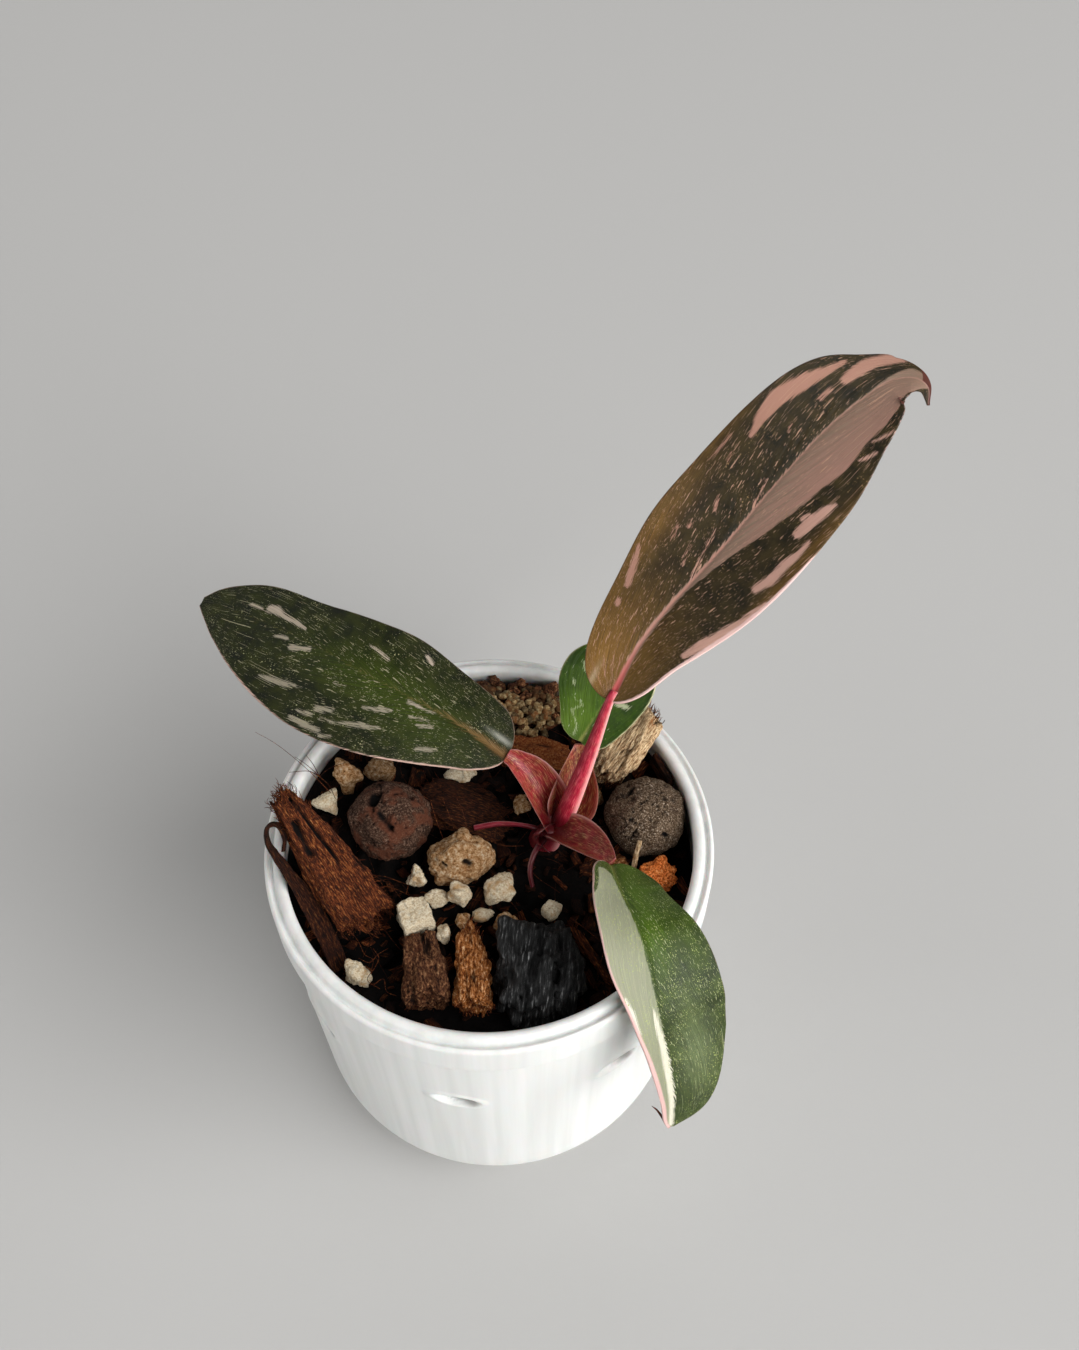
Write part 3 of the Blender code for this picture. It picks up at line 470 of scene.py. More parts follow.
    rib = add(made, "Math", {0: fray, 1: look["torn_rib"], 2: mark["rib"]}, operation="MULTIPLY_ADD")
    rib = add(made, "MapRange", {"Value": rib, "From Min": -0.25, "From Max": 0.15})
    rib = add(made, "Math", {0: rib, 1: look["rib_strength"]}, operation="MULTIPLY")
    from_base = add(made, "MapRange", {"Value": place, "From Min": 0.0, "From Max": look["rib_run"]})
    # Painted sheen: a pale highlight mixed into the colour where the blade would mirror the window.
    painted_sheen = add(made, "Math", {0: mark["painted_sheen"], 1: patchy}, operation="MULTIPLY")
    left = add(made, "MapRange", {"Value": across, "From Min": -0.1, "From Max": 0.1})
    rib_colour, hem_colour = (
        add(made, "Mix", {"Factor_Float": share, "A_Color": look[key][0], "B_Color": look[key][1]}, MIXED, **COLOUR)
        for share, key in ((from_base, "rib"), (left, "hem"))
    )
    hem = add(made, "Math", {0: fray, 1: 0.2, 2: mark["hem"]}, operation="MULTIPLY_ADD")
    hem = add(made, "MapRange", {"Value": hem, "From Min": -0.1, "From Max": 0.15})
    back = add(made, "Math", {0: mark["under"], 1: 0.62}, operation="MULTIPLY")
    for share, cover in (
        (pale_dots, look["speck"]),
        (dashes, look["dash"]),
        (rib, rib_colour),
        (painted_sheen, look["painted_sheen"]),
        (hem, hem_colour),
        (back, look["under"]),
    ):
        colour = add(made, "Mix", {"Factor_Float": share, "A_Color": colour, "B_Color": cover}, MIXED, **COLOUR)

    cells = add(made, "TexNoise", {"Vector": blade_spot, "Scale": 4.0, "Detail": 3.0})
    relief = add(made, "Math", {0: cells, 1: 0.3, 2: lines}, operation="MULTIPLY_ADD")
    bump = add(made, "Bump", {"Height": relief, "Strength": 0.4, "Distance": 0.0003}, "Normal")
    gloss = add(made, "MapRange", {"Value": mottle, "To Min": look["gloss"] - 0.04, "To Max": look["gloss"] + 0.06})
    return surface(
        made,
        {
            "Base Color": colour,
            "Roughness": gloss,
            "IOR": 1.42,
            "Specular IOR Level": look["shine"],
            "Subsurface Weight": 0.05,
            "Subsurface Scale": 0.0005,
            "Normal": bump,
        },
    )


def stem_skin():
    """The smooth, juicy skin of petioles and aerial roots: red where it is round, streaked with
    olive and gold on the winged sheaths, thin enough at their edges to turn pale pink, with a
    painted pale pink highlight along one side of each round part and painted shade along the
    other, and dark where the stem's crown shades it."""
    made = new_material("philodendron_stem_skin")
    grain = add(made, "Attribute", {}, "Vector", attribute_name="grain")
    mark = {
        key: add(made, "Attribute", {}, "Fac", attribute_name=key) for key in ("tone", "edge", "crown", "shade")
    }
    lines = add(made, "VectorMath", {0: grain, 1: (0.5, 7.0, 7.0)}, operation="MULTIPLY")
    lines = add(made, "TexNoise", {"Vector": lines, "Scale": 1.0, "Detail": 4.0, "Roughness": 0.65})
    red, brown = (
        add(made, "ValToRGB", {"Fac": lines}, stops=stops)
        for stops in (
            ((0.3, "7A0C20"), (0.47, "AA1C36"), (0.6, "CC4456"), (0.76, "E89A98")),
            ((0.36, "4E1412"), (0.46, "7A2620"), (0.54, "8A5232"), (0.66, "C8A870")),
        )
    )
    spots = add(made, "TexNoise", {"Vector": grain, "Scale": 0.7, "Detail": 3.0})
    spots = add(
        made, "MapRange", {"Value": spots, "From Min": 0.35, "From Max": 0.65, "To Min": -0.25, "To Max": 0.25}
    )
    spots = add(made, "Math", {0: spots, 1: mark["tone"]}, operation="ADD", use_clamp=True)
    colour = add(made, "Mix", {"Factor_Float": spots, "A_Color": red, "B_Color": brown}, MIXED, **COLOUR)
    # edge is the sheaths' own pale margin and, on round parts, a painted highlight.
    for share, cover in ((mark["edge"], "E2A8A2"), (mark["crown"], "5E0612")):
        colour = add(made, "Mix", {"Factor_Float": share, "A_Color": colour, "B_Color": cover}, MIXED, **COLOUR)
    colour = add(made, "Mix", {"Factor_Float": 1.0, "A_Color": colour, "B_Color": mark["shade"]}, MIXED, **TIMES)
    bump = add(made, "Bump", {"Height": lines, "Strength": 0.3, "Distance": 0.0002}, "Normal")
    return surface(
        made,
        {
            "Base Color": colour,
            "Roughness": 0.34,
            "IOR": 1.42,
            "Subsurface Weight": 0.15,
            "Subsurface Scale": 0.001,
            "Normal": bump,
        },
    )


def rubble(name, stops, stain, stain_size, pit_shade_colour, grain_scale, bump, gloss, mark=(0.6, 0.75)):
    """A dry, porous material of the mix: colour from fine grain through stops, a stain that
    comes and goes over a few millimetres, painted shade in pits, pores, cracks, clefts and low
    gaps, the piece's own shade and the grain's own relief."""
    made = new_material(name)
    grain = add(made, "Attribute", {}, "Vector", attribute_name="grain")
    tint, pit, shade = (add(made, "Attribute", {}, "Fac", attribute_name=key) for key in ("tint", "pit", "shade"))
    fine = add(made, "VectorMath", {0: grain, 1: grain_scale}, operation="MULTIPLY")
    fine = add(made, "TexNoise", {"Vector": fine, "Scale": 1.0, "Detail": 7.0, "Roughness": 0.72})
    colour = add(made, "ValToRGB", {"Fac": fine}, stops=stops)
    wide = add(made, "TexNoise", {"Vector": grain, "Scale": 1 / stain_size, "Detail": 3.0})
    wide = add(made, "Math", {0: wide, 1: tint}, operation="ADD")
    wide = add(made, "MapRange", {"Value": wide, "From Min": mark[0], "From Max": mark[1]})
    wide = add(made, "Math", {0: wide, 1: 0.75}, operation="MULTIPLY")
    # The pit colour is painted shade in the recesses.
    for share, cover in ((wide, stain), (pit, pit_shade_colour)):
        colour = add(made, "Mix", {"Factor_Float": share, "A_Color": colour, "B_Color": cover}, MIXED, **COLOUR)
    colour = add(made, "Mix", {"Factor_Float": 1.0, "A_Color": colour, "B_Color": shade}, MIXED, **TIMES)
    relief = add(made, "Bump", {"Height": fine, "Strength": bump, "Distance": 0.0007}, "Normal")
    return surface(
        made,
        {"Base Color": colour, "Roughness": gloss, "IOR": 1.45, "Specular IOR Level": 0.2, "Normal": relief},
    )


EVEN = (1.6, 1.6, 1.6)
FINE = (2.8, 2.8, 2.8)
ALONG = (0.8, 4.2, 4.2)
DOWN = (3.0, 0.4, 0.4)

FINISHES = {
    # Composted coir: nearly black where damp, with rusty threads.
    "damp_coir_dust": (
        ((0.36, "020100"), (0.54, "0A0402"), (0.66, "20100A"), (0.8, "4A2A18")),
        "100603", 4.0, "010000", EVEN, 0.9, 0.9,
    ),
    # Expanded clay, red-brown firing skin, dull and pitted.
    "expanded_clay_brown": (
        ((0.34, "20140D"), (0.46, "402A1E"), (0.56, "6A4E3E"), (0.7, "AC907C")),
        "6A3A26", 3.0, "040202", FINE, 1.0, 0.8, (0.47, 0.6),
    ),
    # Expanded clay with a pale, glinting mineral bloom.
    "expanded_clay_grey": (
        ((0.34, "1E140E"), (0.46, "54412F"), (0.55, "7C6650"), (0.62, "C4B09A"), (0.7, "F0E8DC")),
        "3A281E", 4.0, "060403", (3.4, 3.4, 3.4), 1.0, 0.7,
    ),
    # Pine bark: fibrous red-brown, dull, with orange and pale broken fibres.
    "pine_bark": (
        ((0.34, "0C0402"), (0.46, "34170A"), (0.56, "6A3216"), (0.66, "A8703C"), (0.8, "D8B080")),
        "3A1606", 2.6, "060201", ALONG, 1.0, 0.85,
    ),
    # Corky bark: grainy brown with tan edges.
    "cork_bark": (
        ((0.34, "0C0503"), (0.45, "3E2112"), (0.55, "744A30"), (0.66, "B0845C"), (0.8, "D8BC98")),
        "4A2412", 3.0, "060201", (1.2, 2.4, 2.4), 1.0, 0.85,
    ),
    # The pale inner face of a bark chip, with a golden edge.
    "pine_bark_inner": (
        ((0.34, "3A2010"), (0.44, "94704C"), (0.53, "CCAE86"), (0.66, "F0DCB8")),
        "8A5224", 3.0, "140A04", ALONG, 1.0, 0.85,
    ),
    # Rotted ochre wood with a pale fibrous foot.
    "rotted_bark": (
        ((0.34, "1E0C04"), (0.45, "6A340E"), (0.55, "B0703A"), (0.68, "E8CCA4")),
        "5E280A", 2.4, "0C0401", (1.0, 2.4, 2.4), 1.0, 0.85,
    ),
    # Vivid orange porous bark.
    "orange_bark": (
        ((0.34, "5A1E06"), (0.46, "A8501C"), (0.56, "D88040"), (0.7, "F0B880")),
        "8A3A10", 1.6, "2A0C02", FINE, 1.0, 0.8,
    ),
    # Charcoal: black with a silky upright grain.
    "wood_charcoal": (
        ((0.36, "060606"), (0.5, "1C1C1C"), (0.59, "3C3C3C"), (0.7, "A0A0A0")),
        "0A0A0B", 4.0, "010101", DOWN, 1.0, 0.45,
    ),
    # Pumice: cream, porous, stained tan where it lay in the mix.
    "pumice_stone": (
        ((0.3, "9A7A52"), (0.42, "CDB590"), (0.56, "EADDC2"), (0.7, "F8F4E8")),
        "B98A50", 2.2, "4A3018", FINE, 0.9, 0.9, (0.52, 0.68),
    ),
    # Weathered tan pumice with rusty stains.
    "weathered_pumice": (
        ((0.32, "4A2A12"), (0.43, "A07042"), (0.54, "D2A87A"), (0.66, "F0DEC0")),
        "9A5A20", 3.0, "1A0E04", EVEN, 1.0, 0.9,
    ),
    # Washed gravel, from cream to rusty brown.
    "washed_gravel": (
        ((0.3, "4A3018"), (0.48, "8E7048"), (0.66, "CCB88C")),
        "6A3814", 2.0, "0E0703", EVEN, 0.5, 0.8, (0.45, 0.6),
    ),
}


def dry(name):
    """A dry material of the mix, made once."""
    return bpy.data.materials.get(name) or rubble(name, *FINISHES[name])


def dry_marks(grain, shade, tint=0.0, pit=0.0):
    """What a dry material reads at each point: where its grain lies in mm, tint, painted shade in pits and hollows,
    and shade.
    """
    flat = np.zeros(grain.shape[:-1])
    return {"grain": grain, "tint": flat + tint, "pit": flat + pit, "shade": flat + shade}


# ---- Pot


class PotSettings(bpy.types.PropertyGroup):
    """The pot's own sizes."""

    height: bpy.props.FloatProperty(
        name="Height", description="From the base to the top of the lip", default=79 * MM, unit="LENGTH"
    )
    rim_radius: bpy.props.FloatProperty(
        name="Rim radius", description="Outside of the collar", default=40 * MM, unit="LENGTH"
    )
    around: bpy.props.IntProperty(name="Steps", description="Faces round the pot", default=420, min=48)


SLOT_COUNT = 8
SLOT_AZIMUTH = math.radians(-99)
SLOT_HEIGHT = 51.0
SLOT_HALF = (4.2, 2.4)
SLOT_DEPTH = 1.1
SLOT_ROLL = 0.25
SLOT_WALL_RADIUS = 38.5
FLUTE_DEPTH = 0.035
COLLAR_HEIGHT = 9.0
DRAIN_COUNT = 6
DRAIN_CIRCLE = 15.0
DRAIN_RADIUS = 2.5
DRAIN_LEVELS = (-2.0, 5.0)


def pot_profile(height, rim):
    """The pot's outline from the middle of the inside, up over the lip and down to the middle of
    the base: (radius, height) in mm. Round corners are arcs, centre + r (cos a, sin a)."""

    def arc(x, y, radius, start, end, count):
        angle = np.radians(np.linspace(start, end, count))
        return np.stack([x + radius * np.cos(angle), y + radius * np.sin(angle)], -1)

    def line(start, end, count):
        return np.linspace(start, end, count + 1)[1:]

    collar = height - COLLAR_HEIGHT
    return np.vstack(
        [
            line((0.0, 2.3), (23.3, 2.3), 6),
            arc(23.5, 14.7, 12.4, -88, -2, 12),
            line((35.9, 14.7), (37.3, height - 6.0), 14),
            line((37.3, height - 6.0), (36.45, height - 3.2), 4),
            arc(37.35, height - 1.0, 1.0, 170, 10, 11),
            arc(38.75, height - 1.1, 0.32, 200, 340, 5),
            arc(rim - 0.75, height - 1.55, 0.75, 88, 4, 6),
            line((rim, height - 1.7), (rim, collar + 1.1), 8),
            arc(rim - 0.6, collar + 0.7, 0.6, 0, -80, 6),
            line((39.35, collar + 0.05), (39.05, collar - 0.3), 2),
            line((39.0, collar - 0.6), (38.62, SLOT_HEIGHT + 4.2), 8),
            line((38.62, SLOT_HEIGHT + 4.2), (38.40, SLOT_HEIGHT - 4.2), 28),
            line((38.40, SLOT_HEIGHT - 4.2), (37.5, 14.0), 18),
            arc(23.5, 14.0, 14.0, -2, -88, 22),
            line((23.4, 0.0), (1.5, 0.0), 5),
        ]
    )


def slot_press(across, above):
    """How far the wall is pushed in at a blind slot, in mm, and how much painted shade it
    gets there: the pressed lens is 1.1 deep inside r^2 = (x / a)^2 + (z / b)^2 = 1, its rim is
    rolled out by 0.25, and the painted shade lies low and towards the right end."""
    level = above + 0.1 * across
    reach = np.hypot(across / SLOT_HALF[0], level / SLOT_HALF[1])
    lip = np.exp(-(((reach - 1.15) / 0.2) ** 2))
    shade = step(1.05, 0.7, np.hypot((across - 1.0) / 3.1, (level + 0.8) / 1.3))
    return SLOT_DEPTH * step(1.0, 0.75, reach) - SLOT_ROLL * lip, shade


class PLANT_OT_pot(bpy.types.Operator):
    """Turns the moulded pot, presses its slots and bores the drain holes"""

    bl_idname = "plant.pot"
    bl_label = "Pot"

    def execute(self, context):
        chosen = context.scene.plant_pot
        profile = pot_profile(chosen.height / MM, chosen.rim_radius / MM)
        angle = np.linspace(0, 2 * np.pi, chosen.around, endpoint=False)
        radius = np.repeat(profile[:, :1], len(angle), 1)
        height = np.repeat(profile[:, 1:], len(angle), 1)
        outer = np.arange(len(profile)) > profile[:, 1].argmax()
        body = (outer & (profile[:, 1] < chosen.height / MM - 9.4) & (profile[:, 1] > 1))[:, None]
        turn = (angle - SLOT_AZIMUTH) * SLOT_COUNT / (2 * np.pi)
        across = (turn - np.round(turn)) * 2 * np.pi / SLOT_COUNT * SLOT_WALL_RADIUS
        pressed, shade = slot_press(across[None], height - SLOT_HEIGHT)
        radius = radius - body * pressed
        flutes = FLUTE_DEPTH * rough(np.stack([14 * np.cos(angle), 14 * np.sin(angle), 0 * angle], -1), 1.0, 3, 2)
        radius = radius + body * flutes * step(2, 20, height)
        rings = np.stack([radius * np.cos(angle), radius * np.sin(angle), height], -1)
        inside = ~outer[:, None] & (height > 55)
        film = np.where(inside, 0.8 * step(77, 70, height), 0.0)
        # shade is the painted shade inside the slots.
        shape = skin(rings, {"film": film, "shade": 0.6 * shade * body})
        pot = piece("moulded_pot", shape, white_polypropylene(), "pot", "pot")

        turns = np.linspace(0, 2 * np.pi, 32, endpoint=False)
        level = np.array(DRAIN_LEVELS)[:, None] + 0 * turns
        tubes = []
        for index in range(DRAIN_COUNT):
            place = index * math.tau / DRAIN_COUNT
            x = DRAIN_CIRCLE * math.cos(place) + DRAIN_RADIUS * np.cos(turns) + 0 * level
            y = DRAIN_CIRCLE * math.sin(place) + DRAIN_RADIUS * np.sin(turns) + 0 * level
            tubes.append(np.stack([x, y, level], -1))
        points, faces, _ = skin(np.stack(tubes))
        drill = bpy.data.objects.new("drill", mesh_of("drill", points, faces))
        context.scene.collection.objects.link(drill)
        bore = pot.modifiers.new("drain holes", "BOOLEAN")
        bore.object = drill
        bore.operation = "DIFFERENCE"
        bore.solver = "EXACT"
        context.view_layer.update()
        bored = bpy.data.meshes.new_from_object(pot.evaluated_get(context.evaluated_depsgraph_get()))
        pot.modifiers.clear()
        pot.data = bored
        bpy.data.objects.remove(drill)
        return {"FINISHED"}


# ---- Leaves

STATIONS = (0.0, 0.05, 0.1, 0.2, 0.35, 0.5, 0.65, 0.8, 0.9, 0.96, 1.0)
GROOVE_DEPTH = 0.24
GROOVE_WIDTH = 0.6
KEEL_WIDTH = 0.95
LOBE_RUN = 0.09
# A pale sector whose two edges lie wrong side out, so that it never shows.
NO_SECTOR = ((0.0, -30.0, -40.0), (70.0, -30.0, -40.0))

# Each blade repeats the frame's own midrib and half-widths in mm. Marks on it are placed in mm
# along the midrib and across it, with the left half of the blade positive: sector and hem give
# (along, one side, other side), rib gives (along, half-width), a patch is a stroke of
# (along, across, radius), and glow and the painted sheen, a highlight painted into the colour,
# are soft spots of (along, across, two reaches, strength). wave gives its height, count and phase.
LEAVES = (
    {
        "name": "leaf_tall",
        "rows": 250,
        "columns": 77,
        "midrib": (
            (20.9, 12.7, 102.4), (27.4, 22.8, 108), (40.6, 33.2, 119.5), (48.8, 40.6, 126), (57.6, 47.9, 132),
            (65.8, 52.8, 136.2), (69.2, 53.6, 137.4), (72.0, 52.9, 137.9), (73.7, 51.4, 137.2),
            (73.9, 49.7, 134.9),
        ),
        "faces": (-0.25, -0.35, 0.9),
        "left": (4.6, 6.4, 8.2, 10.3, 12.9, 13.4, 12.7, 9.9, 3.7, 0.7, 0.2),
        "right": (3.2, 5.6, 7.8, 10.5, 13.5, 14.3, 13.1, 9.4, 4.8, 1.9, 0.2),
        "fold": 10,
        "wave": (0.7, 5, 0.2),
        "lobe": 1.0,
        "base": 0.06,
        "sweep": 37,
        "sector": (
            (23.0, -0.6, 0.4), (32.0, -2.2, 0.3), (38.0, -4.3, 0.2), (45.0, -6.4, 0.1), (50.0, -7.2, 0.1),
            (55.0, -8.2, 0.2), (61.0, -7.4, 0.2), (66.0, -7.0, 0.2), (71.5, -5.2, 0.4), (75.5, -3.2, 1.6),
            (77.5, -2.4, 1.0), (80.0, 1.0, -1.0),
        ),
        "patches": (
            (
                (50.0, 8.6, 0.4), (53.0, 9.4, 0.9), (57.0, 9.6, 1.5), (61.0, 8.5, 1.3), (64.5, 7.5, 0.8),
                (68.0, 6.8, 0.3),
            ),
            ((66.5, 4.3, 0.8), (70.0, 4.3, 1.1), (72.6, 3.6, 0.9), (74.3, 2.9, 0.3)),
            ((61.5, 4.4, 0.35), (63.6, 4.5, 0.3)),
            ((17.4, 8.0, 0.5), (19.3, 8.9, 0.7), (21.2, 9.7, 0.5), (23.2, 10.8, 0.3)),
            ((14.2, 7.3, 0.35), (14.8, 7.6, 0.3)),
            ((41.4, -9.4, 0.8), (44.3, -9.7, 1.0), (47.5, -10.4, 0.9), (49.2, -10.9, 0.4)),
            ((44.1, -8.3, 0.5), (45.4, -8.8, 0.4)),
            (
                (31.0, -10.0, 0.6), (33.3, -11.0, 0.9), (36.5, -11.2, 0.8), (39.2, -11.8, 0.6),
                (41.4, -11.9, 0.3),
            ),
            (
                (13.8, -8.2, 0.5), (17.8, -9.4, 0.9), (21.6, -10.9, 0.9), (25.2, -12.2, 0.9),
                (30.0, -13.4, 0.7),
            ),
            ((25.0, 0.4, 0.12), (34.0, 2.9, 0.1)),
            ((41.0, 0.4, 0.12), (46.0, 1.6, 0.1)),
            ((42.8, 11.4, 0.1), (48.0, 11.5, 0.1)),
            ((25.9, 3.1, 0.16), (29.3, 4.4, 0.1)),
            ((31.4, 6.5, 0.3), (32.6, 7.0, 0.15)),
            ((44.6, 9.0, 0.25), (45.8, 9.3, 0.12)),
            ((54.4, 4.4, 0.3), (55.6, 4.9, 0.15)),
            ((1.5, 0.7, -0.1), (6.0, 2.4, -0.02), (12.0, 4.2, -0.15)),
            ((1.2, 0.9, -0.1), (5.0, 3.4, -0.02), (9.4, 5.6, -0.15)),
            ((1.6, 0.5, -0.1), (8.0, 1.5, -0.02), (15.0, 2.4, -0.15)),
            ((1.0, 1.2, -0.1), (3.6, 4.2, -0.02), (6.4, 6.6, -0.15)),
            ((36.4, 4.9, 0.2), (38.0, 5.8, 0.3), (39.4, 6.2, 0.1)),
            ((27.6, 7.2, 0.1), (29.0, 7.8, 0.25), (30.2, 8.2, 0.1)),
            ((58.0, -8.6, 0.2), (59.6, -9.4, 0.35), (61.4, -9.8, 0.15)),
            ((62.4, -7.9, 0.15), (64.6, -8.6, 0.3), (66.6, -9.0, 0.1)),
        ),
        "hem": (
            (0.0, 0.1, 0.3), (8.0, 0.08, 0.5), (22.0, 0.06, 0.75), (36.0, 0.05, 0.45), (42.0, 0.05, -0.1),
            (76.5, 0.05, -0.1), (78.5, 2.5, -0.1), (85.0, 3.0, -0.1),
        ),
        "rib": ((0.0, 0.5), (8.0, 0.3), (20.0, 0.16), (30.0, 0.1), (48.0, -0.05), (85.0, -0.1)),
        "glow": (
            (5.0, 5.0, 12.0, 6.0, 1.0), (24.0, 11.0, 14.0, 2.6, 0.6), (46.0, 14.0, 18.0, 1.8, 0.5),
            (8.0, -4.0, 10.0, 4.0, 0.3), (34.0, -13.5, 20.0, 1.6, 0.5),
        ),
        # Painted sheen: a small pale highlight spot near the base.
        "painted_sheen": ((2.5, 4.4, 2.6, 0.5, 0.6),),
        "finish": "leaf_bronze",
    },
    {
        "name": "leaf_left",
        "rows": 210,
        "columns": 77,
        "midrib": (
            (3.0, 12.8, 85.0), (-6.2, 17.7, 89), (-22.6, 25, 94), (-31.1, 29.9, 95), (-43.2, 36.7, 95),
            (-54.0, 41.2, 94),
        ),
        "faces": (0, -0.15, 1),
        "left": (4.2, 5.8, 7.8, 11.2, 15.0, 16.3, 14.9, 11.2, 7.2, 3.6, 0.9),
        "right": (5.0, 6.4, 7.4, 8.8, 10.4, 9.4, 8.2, 7.4, 5.2, 3.4, 1.2),
        "fold": 8,
        "wave": (0.6, 4, 0.6),
        "lobe": 1.2,
        "base": 0.09,
        "sweep": 33,
        "sector": NO_SECTOR,
        "patches": (
            ((52.0, -2.7, 0.7), (50.8, -2.9, 0.8), (48.8, -2.5, 0.5), (46.1, -2.3, 0.45), (43.9, -2.0, 0.2)),
            ((47.7, 1.9, 0.4), (45.8, 1.3, 0.35)),
            ((43.8, 2.5, 0.6), (40.9, 1.3, 0.55)),
            ((44.9, 10.5, 0.25), (43.0, 10.2, 0.6), (40.3, 9.7, 0.6), (36.8, 8.8, 0.15)),
            ((32.4, 10.9, 0.5), (30.5, 9.8, 0.45)),
            ((26.3, 6.4, 0.3), (24.0, 5.4, 0.45), (21.9, 4.3, 0.35)),
            ((31.2, 12.5, 0.15), (27.9, 11.2, 0.3), (24.7, 9.7, 0.5), (22.2, 8.6, 0.2)),
            ((34.8, 15.0, 0.3), (32.8, 14.8, 0.65), (30.5, 14.6, 0.4)),
            ((34.5, 13.0, 0.3), (32.8, 12.5, 0.35)),
            ((20.1, 1.1, 0.35), (17.5, 1.0, 0.25), (14.9, 0.5, 0.1)),
            ((14.7, 8.9, 0.3), (13.0, 7.9, 0.4), (11.4, 6.9, 0.25)),
            ((18.5, 3.7, 0.18), (15.4, 2.6, 0.15)),
            ((16.5, 4.5, 0.3), (14.2, 3.4, 0.25)),
            ((31.5, -5.1, 0.12), (29.3, -4.7, 0.25), (27.1, -4.2, 0.15)),
            ((21.1, -8.1, 0.3), (19.8, -7.4, 0.3)),
            ((32.8, 4.9, 0.15), (31.0, 4.5, 0.2)),
            ((29.7, 15.3, 0.2), (28.4, 14.6, 0.25)),
            ((55.6, -2.2, 0.3), (53.4, -2.1, 0.2)),
        ),
        "hem": (
            (0.0, 0.25, 0.15), (14.0, 0.3, 0.12), (22.0, 0.12, 0.08), (34.0, 0.1, 0.06), (46.0, 0.28, 0.06),
            (52.0, 0.1, 0.08), (66.0, 0.1, 0.12),
        ),
        "rib": ((0.0, 0.7), (6.0, 0.5), (12.0, 0.15), (20.0, -0.1), (32.0, -0.3), (50.0, -0.4), (66.0, -0.5)),
        "glow": ((26.0, 1.0, 14.0, 5.0, 0.8), (14.0, 6.0, 9.0, 8.0, 0.35)),
        # Painted sheen: a small pale highlight spot near the base.
        "painted_sheen": ((2.6, -2.1, 2.4, 0.5, 0.75),),
        "finish": "leaf_dark_green",
    },
    {
        "name": "leaf_right",
        "rows": 180,
        "columns": 61,
        "midrib": (
            (21.3, -7.6, 82.2), (22.9, -14.5, 85), (25.7, -23.4, 86), (28.4, -32.9, 79), (30.1, -36.6, 71),
            (31.6, -40.5, 61), (31.7, -43.5, 53),
        ),
        "faces": (0.35, -0.5, 0.75),
        "left": (5.0, 6.0, 6.8, 8.0, 10.6, 11.5, 11.4, 9.8, 7.2, 4.4, 0.6),
        "right": (3.6, 4.4, 5.2, 6.8, 7.5, 5.6, 4.3, 3.1, 2.2, 1.6, 0.6),
        "fold": 10,
        "wave": (0.4, 4, 0.1),
        "lobe": 1.4,
        "base": 0.09,
        "sweep": 28,
        "sector": (
            (2.6, -1.6, -3.0), (3.6, -3.6, -1.0), (6.0, -4.2, -0.6), (8.0, -5.2, -0.4), (11.0, -8.0, -0.3),
            (14.0, -20.0, -0.2), (30.0, -20.0, 0.0), (58.0, -20.0, 0.4),
        ),
        "patches": (
            (
                (29.0, -1.0, 0.15), (32.0, -0.9, 0.5), (36.0, -0.7, 0.7), (42.0, -0.5, 0.75),
                (48.0, -0.3, 0.65), (57.0, 0.0, 0.5),
            ),
            ((25.6, -5.9, 0.3), (28.0, -5.2, 0.5), (31.2, -4.8, 0.35)),
        ),
        "hem": (
            (0.0, 0.05, 0.1), (10.0, 0.05, 0.12), (20.0, 0.05, 0.3), (30.0, 0.05, 0.55), (42.0, 0.06, 0.85),
            (52.0, 0.06, 0.8), (58.0, 0.1, 0.6),
        ),
        "rib": ((0.0, 0.3), (6.0, 0.1), (14.0, -0.1), (58.0, -0.3)),
        "glow": ((6.0, 2.5, 9.0, 3.5, 0.8), (18.0, 1.5, 8.0, 2.5, 0.7), (16.0, 8.0, 10.0, 3.0, 0.3)),
        # Painted sheen: a grey-green highlight down the drooping half, where it would mirror the window.
        "painted_sheen": ((42.0, 5.4, 9.0, 3.6, 0.6), (30.0, 5.0, 8.0, 2.2, 0.12)),
        "finish": "leaf_fresh_green",
    },
    {
        "name": "leaf_back",
        "rows": 90,
        "columns": 61,
        "midrib": ((16.3, 16.2, 84.4), (19.1, 18.9, 89), (22.4, 22.0, 94), (27.2, 26.3, 100)),
        "faces": (-0.15, -0.5, 0.85),
        "left": (3.4, 4.4, 5.2, 6.6, 8.6, 9.6, 9.4, 7.4, 4.6, 2.4, 0.6),
        "right": (3.2, 3.8, 4.6, 5.6, 6.6, 7.2, 7.4, 6.6, 4.6, 2.4, 0.6),
        "fold": 14,
        "wave": (0.3, 3, 0.4),
        "lobe": 0.8,
        "base": 0.12,
        "sweep": 20,
        "sector": NO_SECTOR,
        "patches": (
            ((7.2, 5.4, 0.03), (6.8, 4.4, 0.02), (7.0, 3.6, 0.03), (6.4, 3.0, 0.02)),
            ((6.4, 3.0, 0.02), (5.6, 3.6, 0.03), (4.7, 4.3, 0.02), (4.1, 3.6, 0.03)),
            ((4.1, 3.6, 0.03), (3.3, 2.6, 0.02), (2.4, 1.9, 0.03), (0.9, 1.7, 0.04)),
            ((10.3, -2.4, 0.5), (11.0, -4.4, 0.4)),
            ((9.9, 6.9, 0.15), (9.3, 6.3, 0.2)),
            ((13.4, 6.6, 0.4), (12.4, 5.8, 0.3)),
        ),
        "hem": ((0.0, 0.12, 0.12), (10.0, 0.12, 0.12), (22.0, 0.15, 0.15)),
        "rib": ((0.0, 0.3), (5.0, 0.0), (22.0, -0.1)),
        "glow": ((3.0, 3.5, 5.0, 3.5, 0.8), (12.0, 4.0, 8.0, 4.0, 0.3)),
        "painted_sheen": (),
        "finish": "leaf_fresh_green_young",
    },
)

